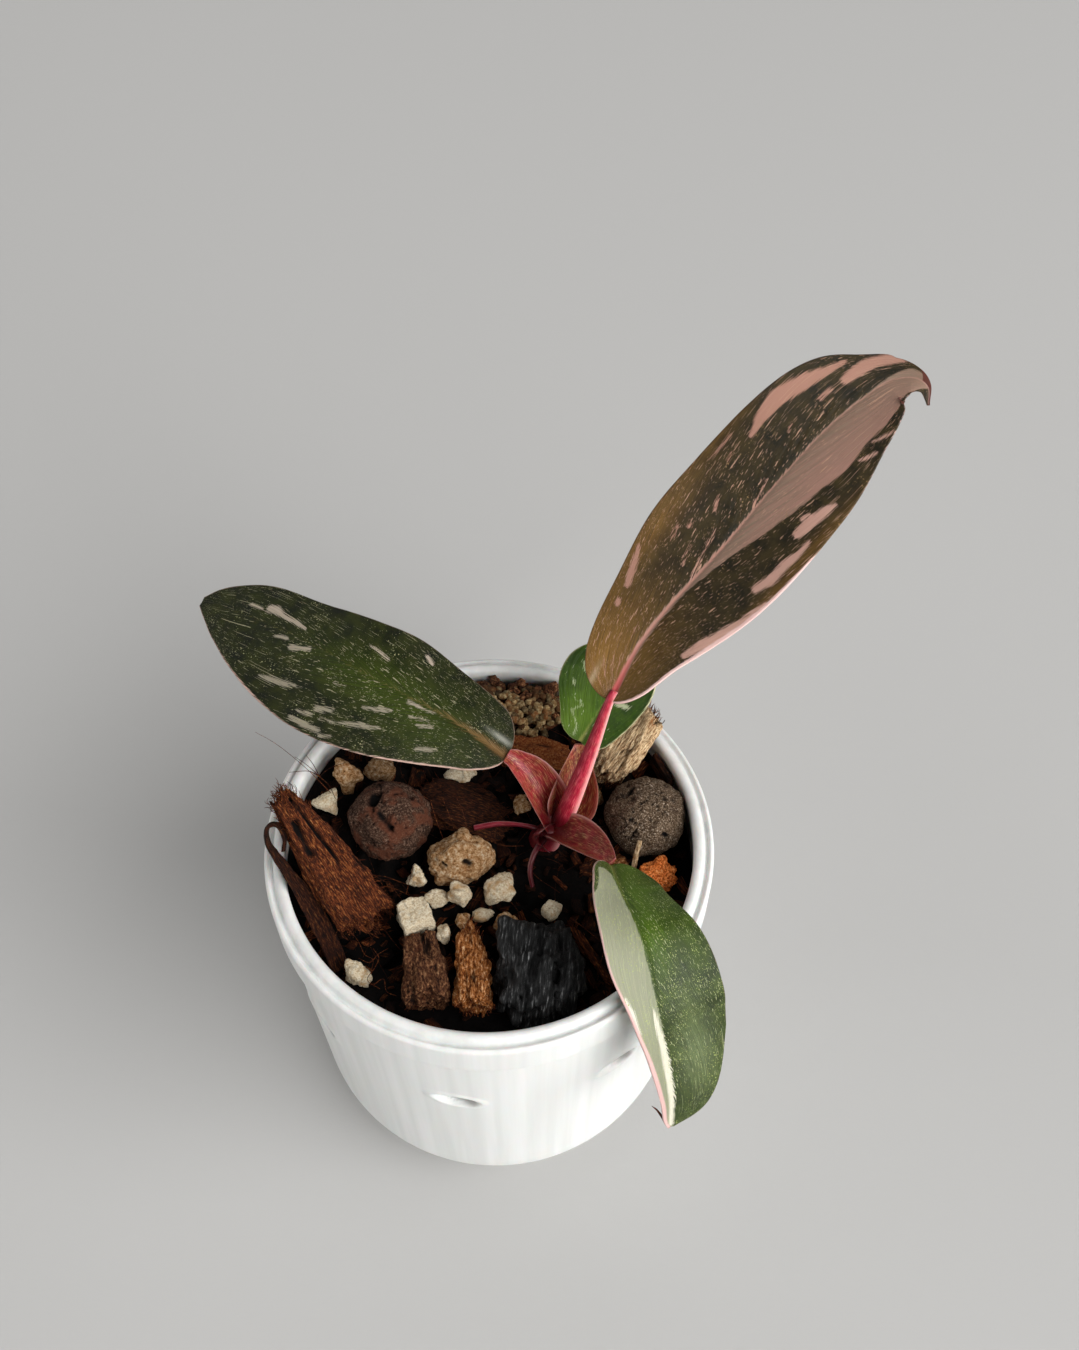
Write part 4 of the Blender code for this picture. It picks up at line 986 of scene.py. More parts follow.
# The thin dead hook at the drooping leaf's tip: its path, and its sections as for the stem.
DRIED_TIP = (
    (31.6, -43.0, 53.3), (31.0, -42.9, 52.9), (30.2, -41.9, 53.6), (29.3, -40.9, 54.2), (28.4, -40.5, 55.0),
)
DRIED_SECTIONS = (
    (0.3, 0, 0.2, 0.2), (0.28, 0, 0.15, 0.15), (0.24, 0, 0.12, 0.12), (0.16, 0, 0.08, 0.08),
    (0.05, 0, 0.05, 0.05),
)

# In each look the sheen colour is a painted highlight, standing in for light mirrored by the wax.
LEAF_LOOKS = {
    # A grown blade: matt wax over near-black bronze tissue, with rosy sectors and a pink hem.
    "leaf_bronze": {
        "dark": "1E1A0D",
        "mid": "3A3018",
        "glow": "90682E",
        "specks": (
            ("blade", (1.7, 1.7, 1.0), 0.28, 0.24), ("blade", (3.0, 3.0, 1.0), 0.32, 0.22),
            ("veins", (2.2, 0.8, 1.0), 0.3, 0.18),
        ),
        "speck": "A08058",
        "dashes": (
            ((0.6, 0.42, 1.0), 0.26, 0.84), ((1.3, 0.9, 1.0), 0.28, 0.8), ((2.6, 1.2, 1.0), 0.3, 0.84),
        ),
        "dash": "BC947C",
        "pale": ("AA7E6C", "C69C8C"),
        "sector": ("80705E", "A67C6E"),
        "rib": ("B8343E", "C49080"),
        "torn_rib": 0.2,
        "rib_strength": 0.95,
        "rib_run": 12.0,
        "hem": ("EFC9C2", "5E3228"),
        "painted_sheen": "C8B898",
        "under": "6E3A36",
        "gloss": 0.42,
        "shine": 0.24,
    },
    # A grown blade in shade: matt wax over very dark olive tissue, sparsely dashed with cream.
    "leaf_dark_green": {
        "dark": "12150A",
        "mid": "282C0E",
        "glow": "3A480C",
        "specks": (
            ("blade", (1.7, 1.7, 1.0), 0.3, 0.26), ("blade", (2.8, 2.8, 1.0), 0.32, 0.3),
            ("veins", (2.6, 1.3, 1.0), 0.28, 0.2),
        ),
        "speck": "A09E76",
        "dashes": (((0.6, 0.5, 1.0), 0.28, 0.87), ((1.2, 0.9, 1.0), 0.3, 0.8), ((2.2, 1.2, 1.0), 0.3, 0.84)),
        "dash": "948E72",
        "pale": ("8A8270", "B4A394"),
        "sector": ("A8A78A", "A8A78A"),
        "rib": ("84603A", "5E5830"),
        "torn_rib": 1.0,
        "rib_strength": 0.75,
        "rib_run": 22.0,
        "hem": ("8A7464", "C4A496"),
        "painted_sheen": "C4C4B8",
        "under": "54322C",
        "gloss": 0.42,
        "shine": 0.2,
    },
    # A softer blade: a little more shine, fresh green beside tissue without chlorophyll.
    "leaf_fresh_green": {
        "dark": "222E0C",
        "mid": "3C4A1A",
        "glow": "4E6A14",
        "specks": (
            ("blade", (1.7, 1.7, 1.0), 0.32, 0.3), ("blade", (3.0, 3.0, 1.0), 0.36, 0.46),
            ("veins", (2.6, 1.1, 1.0), 0.32, 0.42),
        ),
        "speck": "A4AE66",
        "dashes": (((1.4, 0.9, 1.0), 0.3, 0.8), ((2.4, 1.2, 1.0), 0.32, 0.78)),
        "dash": "B0B686",
        "pale": ("D2CDB8", "E6E0D2"),
        "sector": ("80846A", "9C9C84"),
        "rib": ("7E7A3C", "7E8A4C"),
        "torn_rib": 0.3,
        "rib_strength": 0.4,
        "rib_run": 20.0,
        "hem": ("DCB4AE", "6A4A34"),
        "painted_sheen": "7E8A64",
        "under": "5E6438",
        "gloss": 0.36,
        "shine": 0.35,
    },
    # The youngest blade: bright green and almost plain.
    "leaf_fresh_green_young": {
        "dark": "26400A",
        "mid": "3C5A0E",
        "glow": "6C8C24",
        "specks": (("blade", (1.7, 1.7, 1.0), 0.3, 0.1), ("blade", (3.0, 3.0, 1.0), 0.34, 0.16)),
        "speck": "8EA85C",
        "dashes": (((0.8, 0.7, 1.0), 0.3, 0.93),),
        "dash": "C0C8A0",
        "pale": ("B8C494", "CCD2AE"),
        "sector": ("A9AB8E", "989C78"),
        "rib": ("A8A860", "7E9A40"),
        "torn_rib": 0.3,
        "rib_strength": 0.6,
        "rib_run": 10.0,
        "hem": ("C9C49A", "A8A878"),
        "painted_sheen": "C8D0A8",
        "under": "6E7C44",
        "gloss": 0.36,
        "shine": 0.35,
    },
}


class LeafSettings(bpy.types.PropertyGroup):
    """What the four blades share."""

    thickness: bpy.props.FloatProperty(
        name="Blade thickness", description="Of the blade away from its midrib", default=0.45 * MM, unit="LENGTH"
    )
    rib: bpy.props.FloatProperty(
        name="Midrib",
        description="How far the midrib stands out below at the leaf's base",
        default=1.1 * MM,
        unit="LENGTH",
    )
    quilting: bpy.props.FloatProperty(
        name="Quilting", description="Rise of the blade between its side veins", default=0.05 * MM, unit="LENGTH"
    )
    vein_spacing: bpy.props.FloatProperty(
        name="Vein spacing", description="Along the midrib", default=4.6 * MM, unit="LENGTH"
    )


def inside_strokes(along, across, strokes):
    """How deep a spot lies in the nearest of some brush strokes, in mm. A stroke is a chain of
    round marks (along, across, radius) with tapered bars between them: radius - distance."""
    depth = np.full(along.shape, -6.0)
    for stroke in strokes:
        for (u0, v0, r0), (u1, v1, r1) in zip(stroke, stroke[1:]):
            du, dv = u1 - u0, v1 - v0
            t = np.clip(((along - u0) * du + (across - v0) * dv) / (du * du + dv * dv), 0, 1)
            gap = np.hypot(along - u0 - du * t, across - v0 - dv * t)
            depth = np.maximum(depth, r0 + (r1 - r0) * t - gap)
    return depth


def eased(values, share):
    """Half-widths at the listed stations, joined by a smooth curve."""
    marks = np.stack([STATIONS, values], -1)
    along, width = curve_at(marks, np.linspace(0, len(values) - 1, 400))[0].T
    return np.interp(share, along, np.maximum(width, 0.05))


def blade(leaf, thickness, rib, quilting, spacing):
    """One closed blade. A spot at share s of the midrib and v, -1 to 1, across it lies at
    midrib(s) + left w|v| cos f + face (w|v| sin f + wave) - along lobe c |v|^1.5 exp(-(s/0.09)^2).
    Here w is the half-width times c, the quarter circle that rounds the base off, f is the fold
    and wave = a sin(pi (n s + phase)) |v|^2.5, half a step on in the left half and calm at both
    ends. The upper face has a groove over the midrib and swells between the side veins, which
    leave the midrib where along - sweep (|v| + 0.6 v^2) is constant. The lower face lies one
    thickness below, with the midrib standing out of it."""
    share = np.linspace(0, 1, leaf["rows"])
    even = np.linspace(-1, 1, leaf["columns"])
    v = even - 0.6 * np.sin(2 * np.pi * even) / (2 * np.pi)
    centre, along, length = smooth_path(leaf["midrib"], share)
    toward = np.array(leaf["faces"], float)
    face = unit(toward - along * (along @ toward)[:, None])
    leftwards = unit(np.cross(face, along))
    width = np.where(v > 0, eased(leaf["left"], share)[:, None], eased(leaf["right"], share)[:, None])
    s = share[:, None]
    size = np.abs(v)[None]
    round_off = np.sqrt(1 - (1 - np.clip(s / leaf["base"], 0.003, 1)) ** 2)
    reach = width * size * round_off
    fold = math.radians(leaf["fold"])
    amplitude, waves, phase = leaf["wave"]
    ripple = amplitude * np.sin(np.pi * (waves * s + phase + 0.5 * (v > 0)))
    ripple = ripple * size**2.5 * np.minimum(1, 6 * (1 - s)) * np.minimum(1, 8 * s)
    back = leaf["lobe"] * round_off * size**1.5 * np.exp(-((s / LOBE_RUN) ** 2))
    spots = (
        centre[:, None]
        + leftwards[:, None] * (np.sign(v) * reach * math.cos(fold))[..., None]
        + face[:, None] * (reach * math.sin(fold) + ripple)[..., None]
        - along[:, None] * back[..., None]
    )
    normal = unit(np.cross(np.gradient(spots, axis=0), np.gradient(spots, axis=1)))
    u = s * length + 0 * reach
    across = np.sign(v) * reach
    root = u - leaf["sweep"] * (size + 0.6 * size**2)
    taper = np.minimum(1, 5 * (1 - s)) * np.minimum(1, 1.5 * (1 - size**4) + 0.1)
    swell = quilting * np.cos(2 * np.pi * root / spacing) * step(0.4, 2.5, reach) * taper
    groove = GROOVE_DEPTH * np.exp(-((across / GROOVE_WIDTH) ** 2)) * (1 - s) ** 0.5
    keel = rib * np.exp(-((across / KEEL_WIDTH) ** 2)) * (1 - s) ** 1.3
    upper = spots + normal * (swell - groove)[..., None]
    upper[:, (0, -1)] = (spots - 0.5 * thickness * normal)[:, (0, -1)]
    lower = spots + normal * (swell - thickness - keel)[..., None]

    def both(numbers):
        """A value of the upper face, said again for the lower one."""
        return np.concatenate([numbers, numbers[:, -2:0:-1]], 1)

    sector = np.array(leaf["sector"])
    low, high = (np.interp(u, sector[:, 0], sector[:, column]) for column in (1, 2))
    hem = np.array(leaf["hem"])
    hem_width = np.where(v > 0, np.interp(u, hem[:, 0], hem[:, 1]), np.interp(u, hem[:, 0], hem[:, 2]))
    flat = np.zeros_like(u)
    # The second soft spot is the painted sheen, a highlight painted into the colour.
    soft = {"glow": flat, "painted_sheen": flat}
    for key in soft:
        for a, b, ru, rv, strength in leaf[key]:
            soft[key] = soft[key] + strength * np.exp(-(((u - a) / ru) ** 2) - ((across - b) / rv) ** 2)
    rings = np.concatenate([upper, lower[:, -2:0:-1]], 1)
    values = {
        "veins": both(np.stack([root, 3 * across, flat], -1)),
        "blade": both(np.stack([u, across, flat], -1)),
        "pale": both(inside_strokes(u, across, leaf["patches"])),
        "sector": both(np.minimum(across - low, high - across)),
        "hem": both(hem_width - (width * round_off - reach)),
        "rib": both(np.interp(u, *np.array(leaf["rib"]).T) - reach),
        "glow": both(np.clip(soft["glow"], 0, 1)),
        "painted_sheen": both(np.clip(soft["painted_sheen"], 0, 1)),
        "under": np.concatenate([flat, flat[:, -2:0:-1] + 1], 1),
    }
    return skin(rings, values)


class PLANT_OT_leaves(bpy.types.Operator):
    """Grows the four blades over the frame's leaves"""

    bl_idname = "plant.leaves"
    bl_label = "Leaves"

    def execute(self, context):
        chosen = context.scene.plant_leaves
        sizes = (chosen.thickness / MM, chosen.rib / MM, chosen.quilting / MM, chosen.vein_spacing / MM)
        for leaf in LEAVES:
            shape = blade(leaf, *sizes)
            finish = leaf["finish"]
            slot = finish.replace("_young", "")
            piece(leaf["name"] + "_blade", shape, leaf_skin(finish, LEAF_LOOKS[finish]), slot, leaf["name"])
        rings, run, x, y = carried(DRIED_TIP, DRIED_SECTIONS, (1, 1, 0), 30, 8)
        marks = {"tone": 1.0, "edge": 0.0, "crown": 0.0, "shade": 0.3}
        values = {"grain": np.stack([run, x, y], -1), **{key: value + 0 * x for key, value in marks.items()}}
        piece("dried_leaf_tip", skin(rings, values), bpy.data.materials["philodendron_stem_skin"], "stem")
        return {"FINISHED"}


# ---- Stem

# Each part's path, its sections (half-width, lift of the margins, depth below and swell above), which way it
# opens, its tone from red 0 to olive brown 1, whether its margins are winged, and its shade.
STEM_PARTS = (
    (
        ((9.5, 5.0, 58.0), (9.8, 4.4, 66.0), (10.2, 3.8, 71.6), (11.6, 4.6, 74.0)),
        ((2.0, 0, 2.0, 2.0), (2.8, 0, 2.8, 2.8), (3.3, 0, 3.3, 3.3), (1.8, 0, 1.8, 1.8)),
        (0, -1, 0), 0.1, 0, 0.7,
    ),
    (
        ((12.4, 5.4, 72.0), (14.4, 6.4, 79.0), (17.6, 9.4, 90.0), (20.5, 12.3, 101.0), (21.8, 14.0, 103.2)),
        (
            (1.9, 0, 1.8, 1.8), (1.75, 0, 1.7, 1.7), (1.45, 0, 1.4, 1.4), (1.1, 0, 1.0, 1.0),
            (0.7, 0, 0.5, 0.5),
        ),
        (0, -1, 0.3), 0.0, 0, 1.0,
    ),
    (
        ((12.0, 4.6, 73.0), (9.8, 7.6, 78.0), (7.4, 10.2, 82.0), (4.8, 11.8, 84.4), (3.0, 12.6, 85.2)),
        (
            (2.2, 0.8, 1.6, 0.4), (3.5, 3.2, 1.4, -0.9), (3.7, 3.2, 1.3, -0.9), (3.0, 2.2, 1.1, -0.6),
            (1.3, 0.6, 0.8, 0.1),
        ),
        (0.35, -0.45, 0.85), 0.62, 1, 0.9,
    ),
    (
        ((11.6, 3.6, 74.0), (14.6, 0.4, 77.4), (17.8, -2.8, 80.0), (20.2, -5.6, 81.6), (21.3, -7.4, 82.3)),
        (
            (2.2, 0.8, 1.6, 0.4), (3.2, 2.6, 1.4, -0.8), (3.4, 2.5, 1.3, -0.8), (2.7, 1.6, 1.0, -0.4),
            (1.1, 0.4, 0.6, 0.1),
        ),
        (0.2, -0.3, 0.95), 0.7, 1, 0.7,
    ),
    (
        ((13.0, 6.0, 72.0), (15.2, 9.6, 77.2), (15.9, 12.8, 80.8), (16.2, 15.8, 84.2)),
        ((2.4, 1.0, 1.6, 0.4), (4.4, 3.6, 1.4, -0.7), (3.4, 2.8, 1.2, -0.6), (0.9, 0.3, 0.8, 0.3)),
        (0.0, -0.7, 0.7), 0.95, 1, 0.95,
    ),
    (
        ((10.4, 3.4, 73.6), (6.6, 4.2, 74.9), (1.6, 4.6, 75.0), (-3.0, 4.0, 74.6)),
        ((0.7, 0, 0.7, 0.7), (0.42, 0, 0.42, 0.42), (0.5, 0, 0.5, 0.5), (0.5, 0, 0.5, 0.5)),
        (0, 0, 1), 0.0, 0, 0.5,
    ),
    (
        ((9.8, 2.4, 73.4), (8.0, -1.0, 74.0), (7.2, -3.6, 72.4), (7.8, -6.4, 69.4)),
        ((0.7, 0, 0.7, 0.7), (0.5, 0, 0.5, 0.5), (0.45, 0, 0.45, 0.45), (0.4, 0, 0.4, 0.4)),
        (0, 0, 1), 0.1, 0, 0.28,
    ),
    (
        ((10.4, 4.0, 71.0), (9.2, 2.6, 74.4), (8.4, 1.0, 76.2)),
        ((2.6, 1.6, 1.4, -0.3), (2.6, 1.8, 1.2, -0.5), (1.2, 0.6, 0.8, 0.0)),
        (0.2, -0.6, 0.8), 0.3, 1, 0.45,
    ),
)


STEM_ROWS = 72
STEM_AROUND = 34
CROWN_REACH = (5.5, 5.5, 4.0)


class StemSettings(bpy.types.PropertyGroup):
    """Where the stem turns dark."""

    crown: bpy.props.FloatVectorProperty(
        name="Crown",
        description="Middle of the dark crown",
        default=(10.6 * MM, 4.0 * MM, 74.5 * MM),
        unit="LENGTH",
    )


class PLANT_OT_stem(bpy.types.Operator):
    """Grows the short stem, its four petioles and its two aerial roots"""

    bl_idname = "plant.stem"
    bl_label = "Stem"

    def execute(self, context):
        crown = np.array(context.scene.plant_stem.crown) / MM
        parts = []
        for path, sections, up, tone, winged, shade in STEM_PARTS:
            across = np.cross(np.subtract(path[-1], path[0]), up)
            rings, run, x, y = carried(path, sections, across, STEM_ROWS, STEM_AROUND)
            widest = np.abs(x).max(1, keepdims=True)
            edge = winged * step(0.9, 1.0, np.abs(x) / (widest + 0.01))
            near = np.linalg.norm((rings - crown) / CROWN_REACH, axis=-1)
            # On round parts, edge paints a pale highlight on one side and shade paints the parts darker towards the
            # other: painted light and shade. On winged parts edge is the pale margin.
            values = {
                "grain": np.stack([run, x, y], -1) + 7.0 * len(parts),
                "tone": tone + 0 * x,
                "edge": 0.75 * edge + 0.8 * (1 - winged) * step(0.1, 0.9, x / widest),
                "crown": 0.85 * step(1.2, 0.4, near),
                "shade": shade * (1 + 0.4 * (1 - winged) * x / widest),
            }
            parts.append(skin(rings, values))
        piece("stem_and_petioles", joined(parts), stem_skin(), "stem", "stem_with_petioles")
        return {"FINISHED"}


# ---- Potting mix

MIX_LEVEL = 71.0
MIX_RISE = 0.075
MIX_LEVEL_FROM = -16.0
POT_INSIDE = 37.05
MIX_RINGS = 96
MIX_AROUND = 240
# The mix against the pot's wall and floor: (radius, height), from the top down.
MIX_WALL = ((37.0, 64.0), (36.6, 40.0), (35.6, 15.5), (33.8, 9.6), (29.6, 4.9), (23.2, 2.7), (2.0, 2.7))
LOOSE_REACH = 35.5
FIBRE_REACH = 34.0
# Crumbs banked against the back of the wall: how many, the box they are drawn in with a height
# share from 0 to 1, the radius they stay within, and the foot and rise of the bank.
BANK_COUNT = 260
BANK_BOX = ((-16.0, 27.0, 0.0), (12.0, 36.0, 1.0))
BANK_REACH = 35.6
BANK_FOOT = 74.0
BANK_RISE = 3.8

# Loose fibres that the photograph shows one by one: their paths, radius and shade.
LONG_FIBRES = (
    (((-31.4, 12.6, 78.6), (-33.2, 12.6, 80.4), (-36.4, 11.6, 81.6)), 0.09, 0.9),
    (((-31.4, 12.6, 78.6), (-32.2, 13.4, 81.2), (-33.1, 13.4, 84.4)), 0.08, 0.8),
    (((-31.4, 12.6, 78.6), (-33.4, 13.4, 81.2), (-35.4, 13.9, 83.2)), 0.07, 1.1),
    (((-31.4, 12.6, 78.6), (-29.4, 13.6, 79.8), (-26.4, 14.4, 80.6)), 0.08, 0.7),
    (((-31.4, 12.6, 78.6), (-29.6, 11.2, 77.6), (-28.4, 9.0, 76.6)), 0.09, 0.7),
    (((-29.1, 9.4, 78.0), (-33.0, 11.6, 82.6), (-37.6, 13.2, 88.0), (-41.2, 13.8, 91.4)), 0.06, 1.6),
    (((-11.1, 9.1, 76.2), (-9.8, 4.8, 76.0), (-8.2, 0.8, 75.0)), 0.09, 1.2),
    (((-8.9, 9.4, 76.4), (-7.6, 6.0, 76.4), (-6.4, 2.6, 76.0)), 0.08, 1.2),
    (((-6.2, 9.4, 76.0), (-5.0, 6.4, 76.0), (-4.2, 3.4, 75.4)), 0.08, 1.0),
    (((-21.6, -4.7, 73.0), (-18.4, -5.6, 73.8), (-14.6, -6.8, 73.2)), 0.12, 0.8),
    (((-21.6, -7.4, 73.0), (-18.0, -7.4, 73.6), (-14.4, -8.6, 72.8)), 0.11, 0.9),
    (((-20.4, -5.2, 73.4), (-17.6, -7.4, 74.0), (-15.0, -10.2, 72.8)), 0.1, 0.7),
    (((-13.6, -4.2, 75.0), (-14.0, -6.6, 75.4), (-14.6, -9.4, 74.6)), 0.08, 1.3),
    (
        (
            (-24.0, -15.4, 71.6), (-22.6, -17.6, 72.6), (-21.4, -19.8, 72.2), (-19.9, -20.9, 72.4),
            (-20.1, -23.0, 72.2),
        ),
        0.08, 1.4,
    ),
    (
        (
            (-20.1, -18.4, 71.6), (-18.9, -20.6, 72.6), (-19.5, -22.4, 72.4), (-20.6, -24.6, 72.4),
            (-18.4, -25.9, 71.6),
        ),
        0.08, 1.4,
    ),
    (((-22.4, -20.4, 72.0), (-20.4, -21.6, 72.9), (-19.0, -20.0, 72.7), (-17.4, -18.4, 71.8)), 0.07, 1.3),
    (((-19.6, -25.4, 72.0), (-17.8, -24.6, 72.8), (-17.2, -26.6, 72.2), (-15.4, -27.2, 71.6)), 0.08, 1.3),
    (((14.4, -12.6, 71.6), (17.0, -15.4, 72.8), (20.6, -18.4, 72.0)), 0.12, 0.9),
    (((22.4, -14.6, 71.6), (20.4, -18.6, 72.6), (18.8, -23.4, 71.6)), 0.12, 0.8),
    (((-0.6, 2.4, 73.0), (2.6, 0.4, 74.4), (6.2, 1.0, 73.2)), 0.1, 0.9),
)


class MixSettings(bpy.types.PropertyGroup):
    """How much of each loose thing lies on the mix."""

    crumbs: bpy.props.IntProperty(name="Crumbs", description="Loose crumbs of bark", default=620, min=0)
    fibres: bpy.props.IntProperty(name="Fibres", description="Loose coir fibres", default=150, min=0)
    grains: bpy.props.IntProperty(
        name="Gravel grains", description="Grains in the heap at the back", default=460, min=0
    )
    fibre_radius: bpy.props.FloatProperty(
        name="Fibre radius",
        description="Of a coir fibre, drawn a little thick so that it shows",
        default=0.08 * MM,
        unit="LENGTH",
    )


def mix_top(x, y):
    """The mix's level in mm: a rise to the back, lumps 5 mm and 1.6 mm across, gaps between
    them that drop up to 2 mm, and a hollow against the wall on the right."""
    spots = np.stack([x, y, 0 * x], -1)
    lumps = 1.1 * rough(spots, 5.0, 11, 3) + 0.6 * rough(spots, 1.6, 12, 3)
    gaps = 1.9 * step(0.0, 0.45, rough(spots, 3.6, 13, 2))
    hollow = 3.2 * np.exp(-(((x - 37) / 7) ** 2) - ((y - 1) / 11) ** 2)
    calm = step(POT_INSIDE, POT_INSIDE - 3.0, np.hypot(x, y))
    return MIX_LEVEL - 0.7 + MIX_RISE * np.maximum(y, MIX_LEVEL_FROM) + (lumps - gaps) * calm - hollow


def mix_body():
    """The mix as one closed skin: rings from the middle of its top out to the wall, down inside
    the pot and back to the middle of its floor."""
    angle = np.linspace(0, 2 * np.pi, MIX_AROUND, endpoint=False)
    radius = POT_INSIDE * np.linspace(0.01, 1, MIX_RINGS)
    x, y = radius[:, None] * np.cos(angle), radius[:, None] * np.sin(angle)
    top = np.stack([x, y, mix_top(x, y)], -1)
    out, up = np.array(MIX_WALL).T[..., None]
    side = np.stack([out * np.cos(angle), out * np.sin(angle), up + 0 * angle], -1)
    rings = np.concatenate([top, side])
    # Painted shade: the mix darkens where its surface drops below the mix level, in the gaps between lumps and down
    # its sides.
    low = np.clip((MIX_LEVEL - rings[..., 2]) / 2.5, 0, 0.9)
    return skin(rings, dry_marks(rings, 1.0, 0.2 * rough(rings, 6.0, 4), low))


def random_turns(random, count):
    """Turning matrices from random quaternions."""
    w, x, y, z = unit(random.normal(size=(count, 4))).T
    rows = (
        (1 - 2 * (y * y + z * z), 2 * (x * y - z * w), 2 * (x * z + y * w)),
        (2 * (x * y + z * w), 1 - 2 * (x * x + z * z), 2 * (y * z - x * w)),
        (2 * (x * z - y * w), 2 * (y * z + x * w), 1 - 2 * (x * x + y * y)),
    )
    return np.moveaxis(np.array(rows), -1, 0)


def flat_turns(random, count, tilt):
    """Turning matrices for things that lie down: any turn about Z and a small lean."""
    lean = random.normal(0, tilt, (count, 2))
    spin = random.uniform(0, 2 * np.pi, count)
    c, s, o = np.cos(spin), np.sin(spin), np.ones(count)
    rows = ((c, -s, lean[:, 0]), (s, c, lean[:, 1]), (-lean[:, 0], -lean[:, 1], o))
    return np.moveaxis(np.array(rows), -1, 0)


def scattered(spots, sizes, turns, random, cells, boxy, uneven, shade):
    """Many small lumps at once: each is the same cube net drawn towards a ball, every point
    moved out or in by its own random share, then sized, turned and put in its place."""
    cube, faces = cube_net(cells)
    ball = unit(cube)
    base = ball + (0.82 * cube - ball) * boxy
    count = len(spots)
    shape = base[None] * (1 + uneven * random.uniform(-1, 1, (count, len(base), 1)))
    shape = shape * 0.5 * sizes[:, None]
    placed = np.einsum("nij,nkj->nki", turns, shape) + spots[:, None]
    grain = shape + 40 * random.uniform(-1, 1, (count, 1, 3))
    marks = dry_marks(grain, shade[:, None], random.uniform(-0.25, 0.25, (count, 1)))
    values = {key: numbers.reshape(-1, *numbers.shape[2:]) for key, numbers in marks.items()}
    offset = (np.arange(count) * len(base))[:, None, None]
    return placed.reshape(-1, 3), [(faces[None] + offset).reshape(-1, 4)], values


def threads(starts, ends, sag, radius, shade, random, points=13, sides=5):
    """Thin round fibres: start + (end - start) t + 4 sag t (1 - t) and a sideways wave, each
    carried round by a few-sided ring that thins to nothing at both ends."""
    count = len(starts)
    t = np.linspace(0, 1, points)[None, :, None]
    run = ends - starts
    sideways = unit(np.cross(run, (0.1, 0.2, 1.0)))[:, None]
    swing = random.normal(0, 0.12, (count, 1, 1)) * np.linalg.norm(run, axis=1)[:, None, None]
    phase = random.uniform(0, 6.3, (count, 1, 1))
    path = starts[:, None] + run[:, None] * t + sag[:, None] * (4 * t * (1 - t))
    path = path + sideways * swing * np.sin(phase + 5 * t) * t
    along = unit(np.gradient(path, axis=1))
    side = unit(np.cross(along, (0.31, 0.17, 0.93)))
    other = np.cross(side, along)
    angle = np.linspace(0, 2 * np.pi, sides, endpoint=False)
    width = radius[:, None, None, None] * (0.25 + 0.75 * np.sin(np.pi * np.clip(t, 0.03, 0.97))[..., None] ** 0.5)
    rings = path[:, :, None] + width * (
        side[:, :, None] * np.cos(angle)[:, None] + other[:, :, None] * np.sin(angle)[:, None]
    )
    return skin(rings, dry_marks(rings, shade[:, None, None], random.uniform(-0.25, 0.25, (count, 1, 1))))


def on_disc(random, count, radius):
    """Random places spread evenly over a disc."""
    reach = radius * np.sqrt(random.uniform(0, 1, count))
    angle = random.uniform(0, 2 * np.pi, count)
    return reach * np.cos(angle), reach * np.sin(angle)


